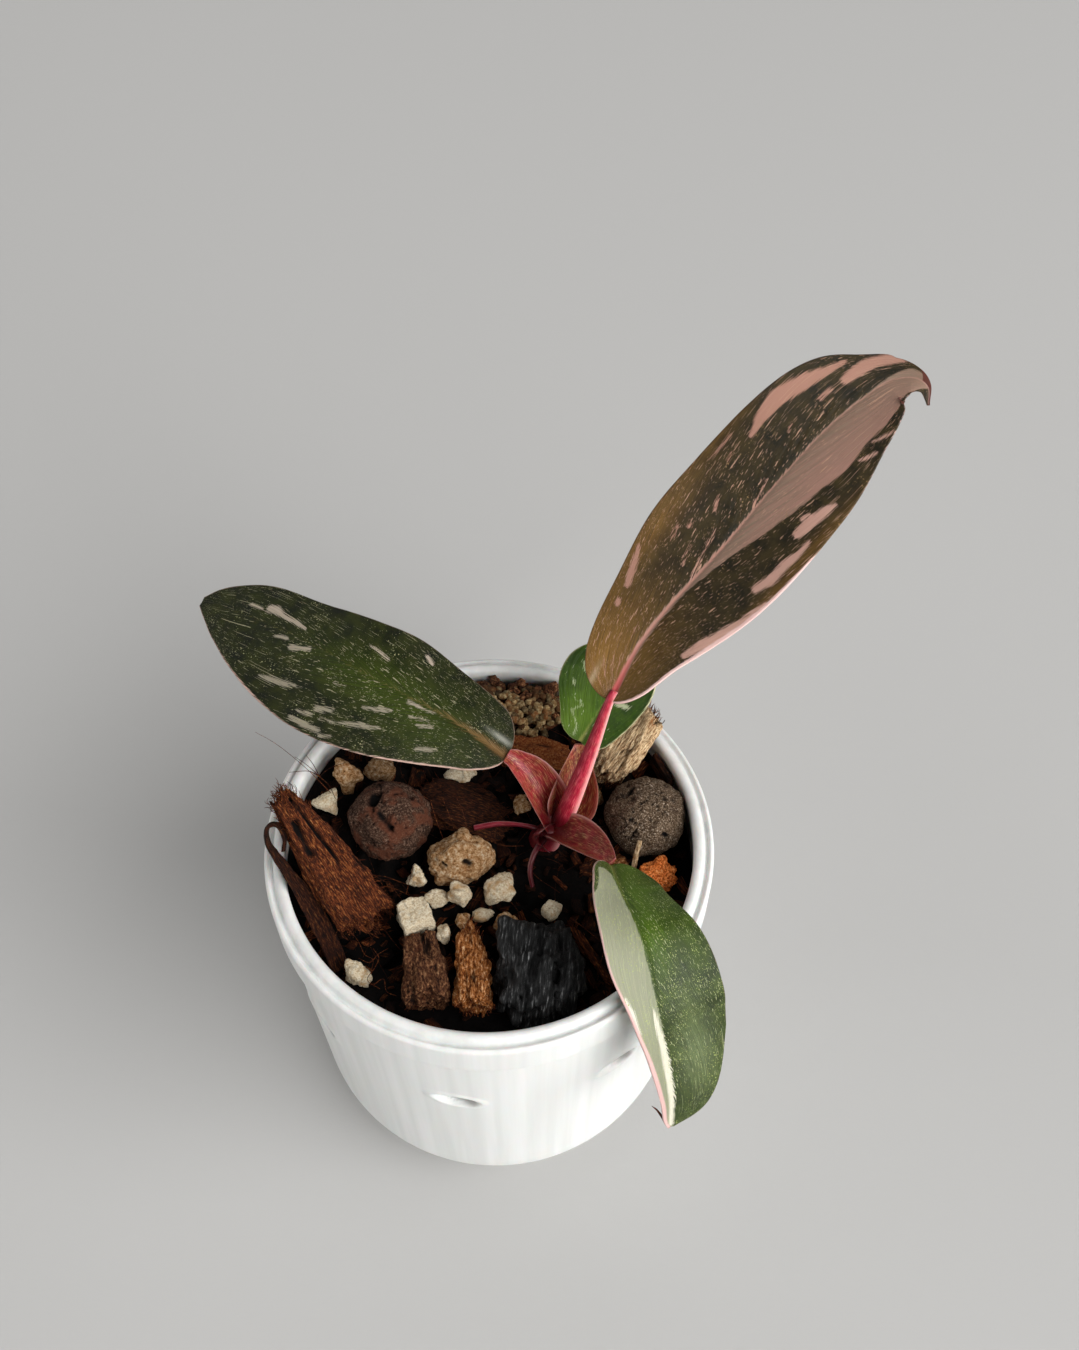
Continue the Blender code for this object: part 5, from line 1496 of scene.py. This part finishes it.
class PLANT_OT_mix(bpy.types.Operator):
    """Fills the pot with coir and bark dust, loose crumbs and fibres, and the gravel heap"""

    bl_idname = "plant.mix"
    bl_label = "Potting mix"

    def execute(self, context):
        chosen = context.scene.plant_mix
        random = np.random.default_rng(5)
        piece("coir_and_bark_dust", mix_body(), dry("damp_coir_dust"), "coir_mix", "potting_mix")

        count = chosen.crumbs
        x, y = on_disc(random, count, LOOSE_REACH)
        spread = random.uniform(0.5, 1.0, (count, 1)) ** 2
        sizes = spread * random.uniform((3.0, 1.2, 0.8), (6.0, 3.4, 1.8), (count, 3))
        spots = np.stack([x, y, mix_top(x, y) + 0.2 * sizes[:, 2]], -1)
        shade = random.uniform(0.12, 0.75, count) ** 1.4 + 0.7 * (random.uniform(0, 1, count) > 0.86)
        shape = scattered(spots, sizes, flat_turns(random, count, 0.35), random, 2, 0.75, 0.28, shade)
        bank = random.uniform(*BANK_BOX, (BANK_COUNT, 3))
        bank = bank[np.hypot(bank[:, 0], bank[:, 1]) < BANK_REACH]
        bank[:, 2] = BANK_FOOT + BANK_RISE * bank[:, 2] * step(24, 33, bank[:, 1])
        sizes = random.uniform(1.0, 2.6, (len(bank), 3))
        turns = random_turns(random, len(bank))
        banked = scattered(bank, sizes, turns, random, 2, 0.6, 0.25, random.uniform(0.5, 2.2, len(bank)))
        piece("bark_crumbs", shape, dry("pine_bark"), "coir_mix")
        piece("banked_crumbs", banked, dry("cork_bark"), "coir_mix")

        count = chosen.fibres
        x, y = on_disc(random, count, FIBRE_REACH)
        heading = random.uniform(0, 2 * np.pi, count)
        length = random.uniform(4, 15, count)
        far = np.stack([x + length * np.cos(heading), y + length * np.sin(heading)])
        far = far / np.maximum(1, np.hypot(*far) / LOOSE_REACH)
        starts = np.stack([x, y, mix_top(x, y)], -1)
        ends = np.stack([*far, mix_top(*far)], -1)
        sag = np.stack([0 * x, 0 * x, random.uniform(0.2, 1.8, count)], -1)
        radius = chosen.fibre_radius / MM * random.uniform(0.5, 1.3, count)
        parts = [threads(starts, ends, sag, radius, random.uniform(0.2, 0.8, count), random)]
        for path, wide, shade in LONG_FIBRES:
            sections = [(half, 0, half, half) for half in (wide, 0.5 * wide)]
            rings = carried(path, sections, (0.3, 0.5, 0.8), 34, 6)[0]
            parts.append(skin(rings, dry_marks(rings, shade)))
        piece("coir_fibres", joined(parts), dry("pine_bark"), "coir_mix")

        count = chosen.grains
        low, high = (np.array(corner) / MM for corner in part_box("gravel_heap"))
        middle, half = (low + high) / 2, (high - low) / 2
        x, y = on_disc(random, count, 0.97)
        dome = (half[2] - 1.1) * np.sqrt(np.maximum(1 - x * x - y * y, 0.02))
        layer = np.where(np.arange(count) % 3 == 0, 1.5, 0.0) + random.uniform(0, 0.5, count)
        spots = middle + np.stack([x * half[0], y * half[1], dome - 0.4 - layer], -1)
        sizes = random.uniform(1.0, 2.0, (count, 1)) * random.uniform(0.7, 1.15, (count, 3))
        shade = random.uniform(0.25, 1.25, count) * np.where(y > 0.35, 0.55, 1.0)
        shape = scattered(spots, sizes, random_turns(random, count), random, 3, 0.3, 0.08, shade)
        shape[2]["tint"] = shape[2]["tint"] + np.repeat(np.where(y > 0.3, 0.12, -0.06), len(shape[0]) // count)
        piece("gravel_grains", shape, dry("washed_gravel"), "pumice", "gravel_heap")
        return {"FINISHED"}


# ---- Stones, clay balls and bark

# Marks on a piece: from and to in mm from its middle before it is turned, radius, and depth (a rise below 0).
MARKS = {
    "clay_ball_left": (
        ((-2.6, 0.2, 6.6), (-2.2, 1.2, 6.5), 1.15, 0.9),
        ((-1.2, -2.4, 6.4), (1.0, -4.6, 5.0), 0.75, 0.6),
        ((1.0, -4.6, 5.0), (3.2, -5.6, 2.4), 0.6, 0.5),
        ((1.0, -4.6, 5.0), (2.8, -3.4, 5.2), 0.5, 0.45),
        ((-4.6, -1.4, 5.0), (-2.0, -1.0, 6.6), 0.22, 0.35),
        ((-2.0, 3.4, 5.8), (2.6, 3.2, 5.6), 0.2, 0.35),
    ),
    "clay_ball_right": (
        ((2.6, -5.4, 3.6), (3.4, -5.6, 2.6), 0.5, 0.6),
        ((-3.4, 2.0, 5.8), (-2.6, 2.6, 5.8), 0.5, 0.5),
        ((-1.4, -3.8, 5.6), (-0.8, -4.2, 5.4), 0.35, 0.4),
    ),
    "pumice_large": (
        ((0.6, -2.6, 2.9), (1.2, -2.9, 2.6), 0.7, 0.4),
        ((0.6, 2.6, 3.4), (1.0, 2.4, 3.2), 1.5, -1.5),
        ((-3.4, -1.8, 2.6), (-3.0, -2.2, 2.4), 0.5, 0.4),
    ),
    "charcoal_lump": (
        ((-3.0, -3.4, 6.4), (-1.0, -8.6, 2.0), 0.3, 0.7),
        ((3.4, 8.0, 5.4), (4.0, -8.4, 4.0), 0.35, 0.8),
    ),
    "bark_tall": (
        ((-8.0, -1.4, 1.8), (-2.0, -2.4, 2.4), 0.7, 0.9),
        ((-14.0, 0.4, 1.2), (2.0, 0.9, 2.8), 0.35, 0.8),
        ((-2.0, 2.4, 2.4), (7.0, 3.4, 3.4), 0.25, 0.6),
    ),
}


def cut_in(points, marks):
    """How far marks push a surface in, in mm, and the painted shade in the grooves they cut:
    each is a round-ended groove about a segment, depth times 3t^2 - 2t^3 of radius - distance."""
    depth = np.zeros(len(points))
    dark = np.zeros(len(points))
    for start, end, radius, deep in marks:
        start, run = np.array(start), np.subtract(end, start)
        t = np.clip((points - start) @ run / (run @ run), 0, 1)
        gap = np.linalg.norm(points - start - t[:, None] * run, axis=1)
        gap = gap + 0.25 * radius * rough(points, 0.8, 3, 2)
        share = step(1.25, 0.5, gap / radius)
        depth = depth + deep * share
        dark = np.maximum(dark, share * (deep > 0))
    return depth, dark


def clay_relief(points, seed):
    """Fired clay: lumps 2.5 mm across, round pits from near random points and a few cracks
    where slow noise crosses zero. Gives the rise in mm and the darkness of the pits and cracks, painted shade."""
    wide, number = pebbled(points, 2.6, seed)
    small, other = pebbled(points, 0.8, seed + 3)
    pit = step(0.32, 0.14, wide) * (number > 0.66) + step(0.42, 0.2, small) * (other > 0.7)
    line = np.abs(rough(points, 5.0, seed + 9, 3))
    crack = step(0.035, 0.0, line) * step(-0.1, 0.2, rough(points, 4.0, seed + 2, 1))
    rise = 0.5 * rough(points, 2.5, seed) + 0.28 * rough(points, 0.8, seed + 1)
    return rise - 0.42 * np.clip(pit, 0, 1) - 0.4 * crack, np.clip(0.8 * pit + 0.8 * crack, 0, 1)


def pebble_relief(points, seed):
    """A small stone: a slight swell and fine grains."""
    rise = 0.16 * rough(points, 1.6, seed, 2) + 0.1 * rough(points, 0.5, seed + 1, 2)
    return rise, 0.3 * step(0.35, 0.6, rough(points, 0.7, seed + 2, 2))


def pumice_relief(points, seed):
    """Pumice: a knobbly surface with small round pores, darkened as painted shade."""
    small, number = pebbled(points, 0.75, seed)
    pore = step(0.42, 0.1, small) * (number > 0.6)
    rise = 0.5 * rough(points, 2.0, seed) + 0.2 * rough(points, 0.7, seed + 1)
    return rise - 0.2 * pore, 0.7 * pore


def bark_relief(points, seed):
    """Bark: ridges that run along X, from noise stretched eight times that way, with deep
    clefts where the noise is lowest, darkened as painted shade."""
    grain = points * (0.13, 1.0, 1.0)
    ridges = rough(grain, 1.1, seed, 3)
    fine = rough(points * (0.3, 1.0, 1.0), 0.45, seed + 2, 2)
    cleft = step(-0.2, -0.5, ridges)
    return 0.5 * ridges + 0.22 * fine - 0.4 * cleft, 0.85 * cleft


def charcoal_relief(points, seed):
    """Charcoal: a grain that runs down its front and cross cracks that break it into
    flat-sided blocks."""
    upright = points * (1.0, 0.14, 0.14)
    ridges = rough(upright, 1.0, seed, 3)
    blocks, _ = pebbled(points * (1.0, 1.0, 0.5), 4.5, seed)
    cleft = step(-0.2, -0.5, ridges)
    # The clefts are darkened as painted shade.
    return 0.4 * ridges - 0.35 * cleft + 0.8 * (0.5 - blocks), 0.7 * cleft


def chunk(name, centre, size, seed, relief, finish, slot, **more):
    """One loose piece, with what isn't said left plain."""
    said = dict(name=name, centre=centre, size=size, seed=seed, relief=relief, finish=finish, slot=slot, **more)
    form = dict(turn=(0, 0, 0), boxy=0.2, uneven=0.2, cells=24, bend=0.0, taper=0.0, slant=0.0, facets=0)
    return {**form, "shade": 1.0, "tint": 0.0, **said}


# The places and sizes in mm are the frame's own, but for flakes and strips that are thinner here.
LOOSE = (
    chunk("clay_ball_left", (-18.5, 6.0, 74.0), (14.6, 14.0, 14.2), 3, clay_relief, "expanded_clay_brown", "clay",
          boxy=0, uneven=0.1, cells=48, shade=0.95),
    chunk("clay_ball_right", (28.4, 6.4, 74.2), (14.2, 14.6, 14.2), 8, clay_relief, "expanded_clay_grey", "clay",
          boxy=0, uneven=0.1, cells=48, shade=0.9),
    chunk("bark_tall", (-28.7, -5.0, 80.7), (31.0, 4.8, 3.0), 5, bark_relief, "pine_bark", "bark",
          turn=(0, 38, -47), boxy=0.6, uneven=0.3, cells=58, bend=0.2, taper=-1.8, slant=0.3, shade=1.3),
    chunk("bark_back", (8.0, 19.4, 74.8), (14.0, 6.6, 5.5), 9, bark_relief, "orange_bark", "bark",
          turn=(0, 6, -8), boxy=0.5, uneven=0.4, cells=34, taper=0.2, shade=0.36),
    chunk("bark_right", (24.8, 18.8, 79.6), (17.4, 9.6, 6.0), 12, bark_relief, "pine_bark_inner", "bark",
          turn=(0, -38, 42), boxy=0.5, uneven=0.32, cells=40, taper=0.2, shade=1.25),
    chunk("bark_strip", (31.6, 15.6, 75.2), (8.0, 1.8, 6.0), 14, bark_relief, "pine_bark", "bark",
          turn=(0, 0, 117), boxy=0.8, uneven=0.15, cells=18, taper=0.3, shade=0.5),
    chunk("bark_chip_front", (-10.9, -22.5, 72.4), (15.0, 9.6, 8.4), 17, bark_relief, "cork_bark", "bark",
          turn=(0, 8, 101), boxy=0.75, uneven=0.3, cells=40, taper=0.3),
    chunk("bark_chunk_fibrous", (-2.7, -22.8, 71.9), (15.4, 7.2, 6.4), 21, bark_relief, "rotted_bark", "bark",
          turn=(0, 6, 94), boxy=0.3, uneven=0.5, cells=44, taper=0.2, shade=1.15),
    chunk("bark_sliver", (18.1, -19.7, 71.0), (13.0, 2.2, 2.0), 25, bark_relief, "pine_bark", "bark",
          turn=(0, 0, -58), boxy=0.6, uneven=0.3, cells=18, bend=0.4, taper=0.3),
    chunk("husk_flake", (-5.2, 9.0, 72.9), (17.4, 11.4, 3.6), 27, bark_relief, "pine_bark", "bark",
          turn=(-6, 8, -16), boxy=0.3, uneven=0.3, cells=34, bend=-0.5, shade=0.42),
    chunk("bark_crumb_orange", (30.4, -4.4, 72.0), (7.0, 5.2, 4.6), 28, pumice_relief, "orange_bark", "bark",
          boxy=0.3, uneven=0.5, cells=28, shade=1.6),
    chunk("bark_crumb_red", (22.6, -2.4, 71.4), (4.6, 4.0, 4.0), 30, pumice_relief, "rotted_bark", "bark",
          turn=(0, 0, 30), uneven=0.5, cells=14, shade=0.6),
    chunk("charcoal_lump", (8.4, -23.2, 72.0), (15.6, 18.0, 12.4), 33, charcoal_relief, "wood_charcoal", "charcoal",
          turn=(4, 0, -6), boxy=0.45, uneven=0.42, cells=50),
    chunk("pumice_large", (-5.3, -1.6, 73.6), (12.2, 9.0, 8.2), 41, pebble_relief, "weathered_pumice", "pumice",
          turn=(0, 0, 12), boxy=0.1, uneven=0.24, cells=38, shade=0.75),
    chunk("pumice_white_block", (-12.9, -13.2, 73.2), (6.6, 6.4, 6.0), 42, pebble_relief, "pumice_stone", "pumice",
          turn=(0, 0, 25), boxy=0.9, uneven=0.16, cells=30, tint=-0.3, shade=1.1),
)
PEBBLES = tuple(f"pumice_{index:02d}" for index in range(1, 17))
# The tan ones and their shade. The rest are paler and share one shade.
TAN_PEBBLES = {
    "pumice_05": 0.9, "pumice_08": 0.9, "pumice_11": 0.9, "pumice_13": 0.5, "pumice_15": 0.6, "pumice_16": 0.8,
}
PALE_PEBBLE_SHADE = 1.12
# Flats and noise draw a pebble in, so it starts a little larger than its node's box.
PEBBLE_FILL = 1.04

# Frayed fibres on a piece: how many, how long in mm, their shade, and how far towards its ends they grow.
FRAYED = {
    "bark_tall": (420, 1.9, 1.5, 0.5),
    "bark_chunk_fibrous": (120, 1.3, 2.6, 0.7),
    "bark_right": (110, 1.6, 1.8, 0.7),
    "bark_chip_front": (110, 0.9, 1.2, 0.4),
    "bark_sliver": (40, 1.5, 1.0, 0.8),
    "bark_back": (60, 1.2, 1.2, 0.4),
    "husk_flake": (50, 2.0, 0.8, 0.3),
}

CURL_PATH = (
    (-25.8, -21.5, 69.6), (-28.6, -16.2, 73.2), (-31.8, -11.6, 77.0), (-35.2, -7.9, 80.6),
    (-37.9, -4.8, 84.0), (-38.1, -2.6, 86.0), (-36.4, -2.0, 86.2), (-35.2, -3.6, 84.8), (-35.4, -5.4, 83.2),
)
CURL_SECTIONS = ((1.7, 0.4, 0.5, 0.4), (1.7, 0.4, 0.5, 0.4), (1.5, 0.2, 0.4, 0.4), (1.2, 0.0, 0.35, 0.35))
CURL_ACROSS = ((0.8, 0.45, -0.2), (0.75, 0.5, -0.3), (0.1, 0.66, -0.7), (-0.07, 0.67, -0.74))
STRAW_PATH = ((25.8, -3.4, 70.0), (26.2, -2.0, 74.4), (26.8, -0.6, 77.6))
STRAW_SECTIONS = ((0.5, 0, 0.45, 0.45), (0.45, 0, 0.4, 0.4))

# Thin pieces carried along a path: name, node, path, sections, which way they face, finish and shade.
STRIPS = (
    ("bark_curl_strip", "bark_curl", CURL_PATH, CURL_SECTIONS, CURL_ACROSS, "pine_bark", 0.36),
    ("straw_stub_stick", "straw_stub", STRAW_PATH, STRAW_SECTIONS, (1, 0, 0), "pine_bark_inner", 1.2),
)


def relieved(row):
    """A lump with its material's relief and its marks pushed along its normals, turned and put
    in its place. Also gives the points and normals before the turn."""
    form = ("size", "seed", "boxy", "uneven", "cells", "bend", "taper", "slant", "facets")
    points, faces = lump(*(row[key] for key in form))
    normals = outward(points, faces)
    rise, pit = row["relief"](points, row["seed"])
    deep, dark = cut_in(points, MARKS.get(row["name"], ()))
    small = min(1.0, min(row["size"]) / 4.5)
    moved = points + normals * (rise * small - deep)[:, None]
    # pit carries painted shade: the darkness of pores, cracks, clefts and cut grooves.
    values = dry_marks(moved + 11.0 * row["seed"], row["shade"], row["tint"], np.maximum(pit, dark))
    return (turned(moved, row["turn"]) + row["centre"], [faces], values), moved, normals


def frayed(row, points, normals, random):
    """Loose fibres on a piece of bark: they leave random points along X, away from its middle
    and a little outwards, and bend back."""
    count, length, shade, ends = FRAYED[row["name"]]
    reach = np.abs(points[:, 0]) / np.abs(points[:, 0]).max()
    weight = (reach ** (6 * ends)) * (normals[:, 2] > -0.5)
    chosen = random.choice(len(points), count, p=weight / weight.sum())
    start, normal = points[chosen], normals[chosen]
    heading = np.stack([np.sign(start[:, 0]), 0 * start[:, 0], 0 * start[:, 0]], -1)
    run = unit(heading + 0.5 * normal + random.normal(0, 0.35, (count, 3)))
    end = start + run * (length * random.uniform(0.4, 1.2, count))[:, None]
    start = start - 0.2 * normal
    place = row["centre"]
    start, end = turned(start, row["turn"]) + place, turned(end, row["turn"]) + place
    sag = random.normal(0, 0.12, (count, 3)) * length
    fibre_shade = shade * random.uniform(0.4, 1.2, count)
    return threads(start, end, sag, random.uniform(0.04, 0.09, count), fibre_shade, random, 6, 4)


class PLANT_OT_chunks(bpy.types.Operator):
    """Lays the clay balls, bark, charcoal and pumice where the frame has them"""

    bl_idname = "plant.chunks"
    bl_label = "Stones and bark"

    def execute(self, context):
        random = np.random.default_rng(8)
        fluff = []
        for row in LOOSE:
            shape, points, normals = relieved(row)
            piece(row["name"] + "_chunk", shape, dry(row["finish"]), row["slot"], row["name"])
            if row["name"] in FRAYED:
                fluff.append(frayed(row, points, normals, random))
        piece("frayed_bark_fibres", joined(fluff), dry("pine_bark"), "bark")
        for index, node in enumerate(PEBBLES):
            low, high = (np.array(corner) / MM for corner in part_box(node))
            finish = "weathered_pumice" if node in TAN_PEBBLES else "pumice_stone"
            centre, size = (low + high) / 2, (high - low) * PEBBLE_FILL
            row = chunk(node, centre, size, 43 + index, pebble_relief, finish, "pumice",
                        uneven=0.3, facets=16, cells=15, shade=TAN_PEBBLES.get(node, PALE_PEBBLE_SHADE))
            piece(node + "_stone", relieved(row)[0], dry(finish), "pumice", node)
        for name, node, path, sections, across, finish, shade in STRIPS:
            rings, run, x, y = carried(path, sections, across, 120, 20)
            rings = rings + 0.16 * rough(np.stack([run * 0.4, x, y], -1), 0.7, 4)[..., None]
            piece(name, skin(rings, dry_marks(np.stack([run, x, y], -1), shade)), dry(finish), "bark", node)
        return {"FINISHED"}


# ---- Stage


class StageSettings(bpy.types.PropertyGroup):
    """The floor, the lights and the lens."""

    floor: bpy.props.FloatVectorProperty(
        name="Floor", description="Colour of the pale floor", subtype="COLOR", default=linear("B9B8B6")[:3]
    )
    window: bpy.props.FloatProperty(
        name="Window",
        description="Power of the large soft light from the front right",
        default=137.0,
        subtype="POWER",
    )
    room: bpy.props.FloatProperty(
        name="Room",
        description="Power of the two pale walls to the left and behind",
        default=66.0,
        subtype="POWER",
    )
    sky: bpy.props.FloatProperty(name="Sky", description="Strength of the even light", default=0.04)
    lens: bpy.props.FloatProperty(name="Lens", description="Focal length", default=37.33, subtype="DISTANCE_CAMERA")


# Lamps hang LIGHT_REACH m from a point LIGHT_AIM m above the floor. Each has its azimuth and height in
# degrees, its width in m, and the setting that gives its power with its share of that.
LIGHT_AIM = 0.06
LIGHT_REACH = 2.6
LIGHTS = {
    "window": (-36, 30, 2.8, "window", 1.0),
    "left_wall": (195, 12, 2.8, "room", 0.6),
    "back_wall": (110, 45, 3.4, "room", 0.4),
}
FLOOR_REACH = 1500
CAMERA_PLACE = (9.0, -124.6, 296.3)
CAMERA_DIP = 53.66
CAMERA_ROLL = -0.14
CAMERA_SENSOR = 36.0
CAMERA_NEAR = 0.01


class PLANT_OT_stage(bpy.types.Operator):
    """Lays the pale floor, hangs the lights and sets the camera"""

    bl_idname = "plant.stage"
    bl_label = "Stage"

    def execute(self, context):
        chosen = context.scene.plant_stage
        scene = context.scene
        scene.view_settings.view_transform = "Standard"

        span = np.linspace(-FLOOR_REACH, FLOOR_REACH, 3)
        x, y = np.meshgrid(span, span, indexing="ij")
        points = np.stack([x, y, 0 * x], -1).reshape(-1, 3)
        mesh = bpy.data.meshes.new("floor")
        mesh.from_pydata((points * MM).tolist(), [], grid_quads(3).tolist())
        # Matt paper: its fine tooth scatters the light, so it shows soft shadows and no gloss.
        paper = new_material("matt_grey_paper")
        place = add(paper, "TexCoord", {}, "Object")
        tooth = add(paper, "TexNoise", {"Vector": place, "Scale": 1400.0, "Detail": 3.0})
        bump = add(paper, "Bump", {"Height": tooth, "Strength": 0.1, "Distance": 0.0002}, "Normal")
        surface(paper, {"Base Color": (*chosen.floor, 1.0), "Roughness": 0.75, "Normal": bump})
        mesh.materials.append(paper)
        floor = bpy.data.objects.new("floor", mesh)
        scene.collection.objects.link(floor)

        world = bpy.data.worlds.new("room")
        scene.world = world
        world.use_nodes = True
        even_light = world.node_tree.nodes["Background"].inputs
        even_light["Color"].default_value = linear("FFFDFA")
        even_light["Strength"].default_value = chosen.sky

        for name, (azimuth, height, width, setting, share) in LIGHTS.items():
            lamp = bpy.data.lights.new(name, "AREA")
            lamp.shape = "SQUARE"
            lamp.size = width
            lamp.energy = share * getattr(chosen, setting)
            hung = bpy.data.objects.new(name, lamp)
            spin = Matrix.Rotation(math.radians(azimuth + 90), 4, "Z")
            turn = spin @ Matrix.Rotation(math.radians(90 - height), 4, "X")
            aim, reach = (Matrix.Translation((0, 0, height)) for height in (LIGHT_AIM, LIGHT_REACH))
            hung.matrix_world = aim @ turn @ reach
            scene.collection.objects.link(hung)

        lens = bpy.data.cameras.new("camera")
        lens.lens = chosen.lens
        lens.sensor_fit = "AUTO"
        lens.sensor_width = CAMERA_SENSOR
        lens.clip_start = CAMERA_NEAR
        camera = bpy.data.objects.new("camera", lens)
        camera.matrix_world = (
            Matrix.Translation([value * MM for value in CAMERA_PLACE])
            @ Matrix.Rotation(math.radians(90 - CAMERA_DIP), 4, "X")
            @ Matrix.Rotation(math.radians(CAMERA_ROLL), 4, "Z")
        )
        scene.collection.objects.link(camera)
        scene.camera = camera
        return {"FINISHED"}


class PLANT_PT_panel(bpy.types.Panel):
    """Lists each step with its settings"""

    bl_idname = "PLANT_PT_panel"
    bl_label = "Plant"
    bl_space_type = "VIEW_3D"
    bl_region_type = "UI"
    bl_category = "Plant"

    def draw(self, context):
        for settings, operator in STEPS:
            box = self.layout.box()
            box.operator(operator)
            if settings:
                group = getattr(context.scene, settings)
                for key in group.__annotations__:
                    box.prop(group, key)


STEPS = (
    ("plant_pot", "plant.pot"),
    ("plant_mix", "plant.mix"),
    (None, "plant.chunks"),
    ("plant_stem", "plant.stem"),
    ("plant_leaves", "plant.leaves"),
    ("plant_stage", "plant.stage"),
)
GROUPS = {
    "plant_pot": PotSettings,
    "plant_mix": MixSettings,
    "plant_stem": StemSettings,
    "plant_leaves": LeafSettings,
    "plant_stage": StageSettings,
}
CLASSES = (
    *GROUPS.values(),
    PLANT_OT_pot,
    PLANT_OT_mix,
    PLANT_OT_chunks,
    PLANT_OT_stem,
    PLANT_OT_leaves,
    PLANT_OT_stage,
    PLANT_PT_panel,
)


def register():
    """Makes the classes known and hangs the settings on the scene."""
    for made in CLASSES:
        bpy.utils.register_class(made)
    for name, group in GROUPS.items():
        setattr(bpy.types.Scene, name, bpy.props.PointerProperty(type=group))


def unregister():
    """Takes the settings and the classes away again."""
    for name in GROUPS:
        delattr(bpy.types.Scene, name)
    for made in reversed(CLASSES):
        bpy.utils.unregister_class(made)


def main():
    """Builds everything in order."""
    register()
    for _, operator in STEPS:
        group, name = operator.split(".")
        getattr(getattr(bpy.ops, group), name)()


if __name__ == "__main__":
    main()
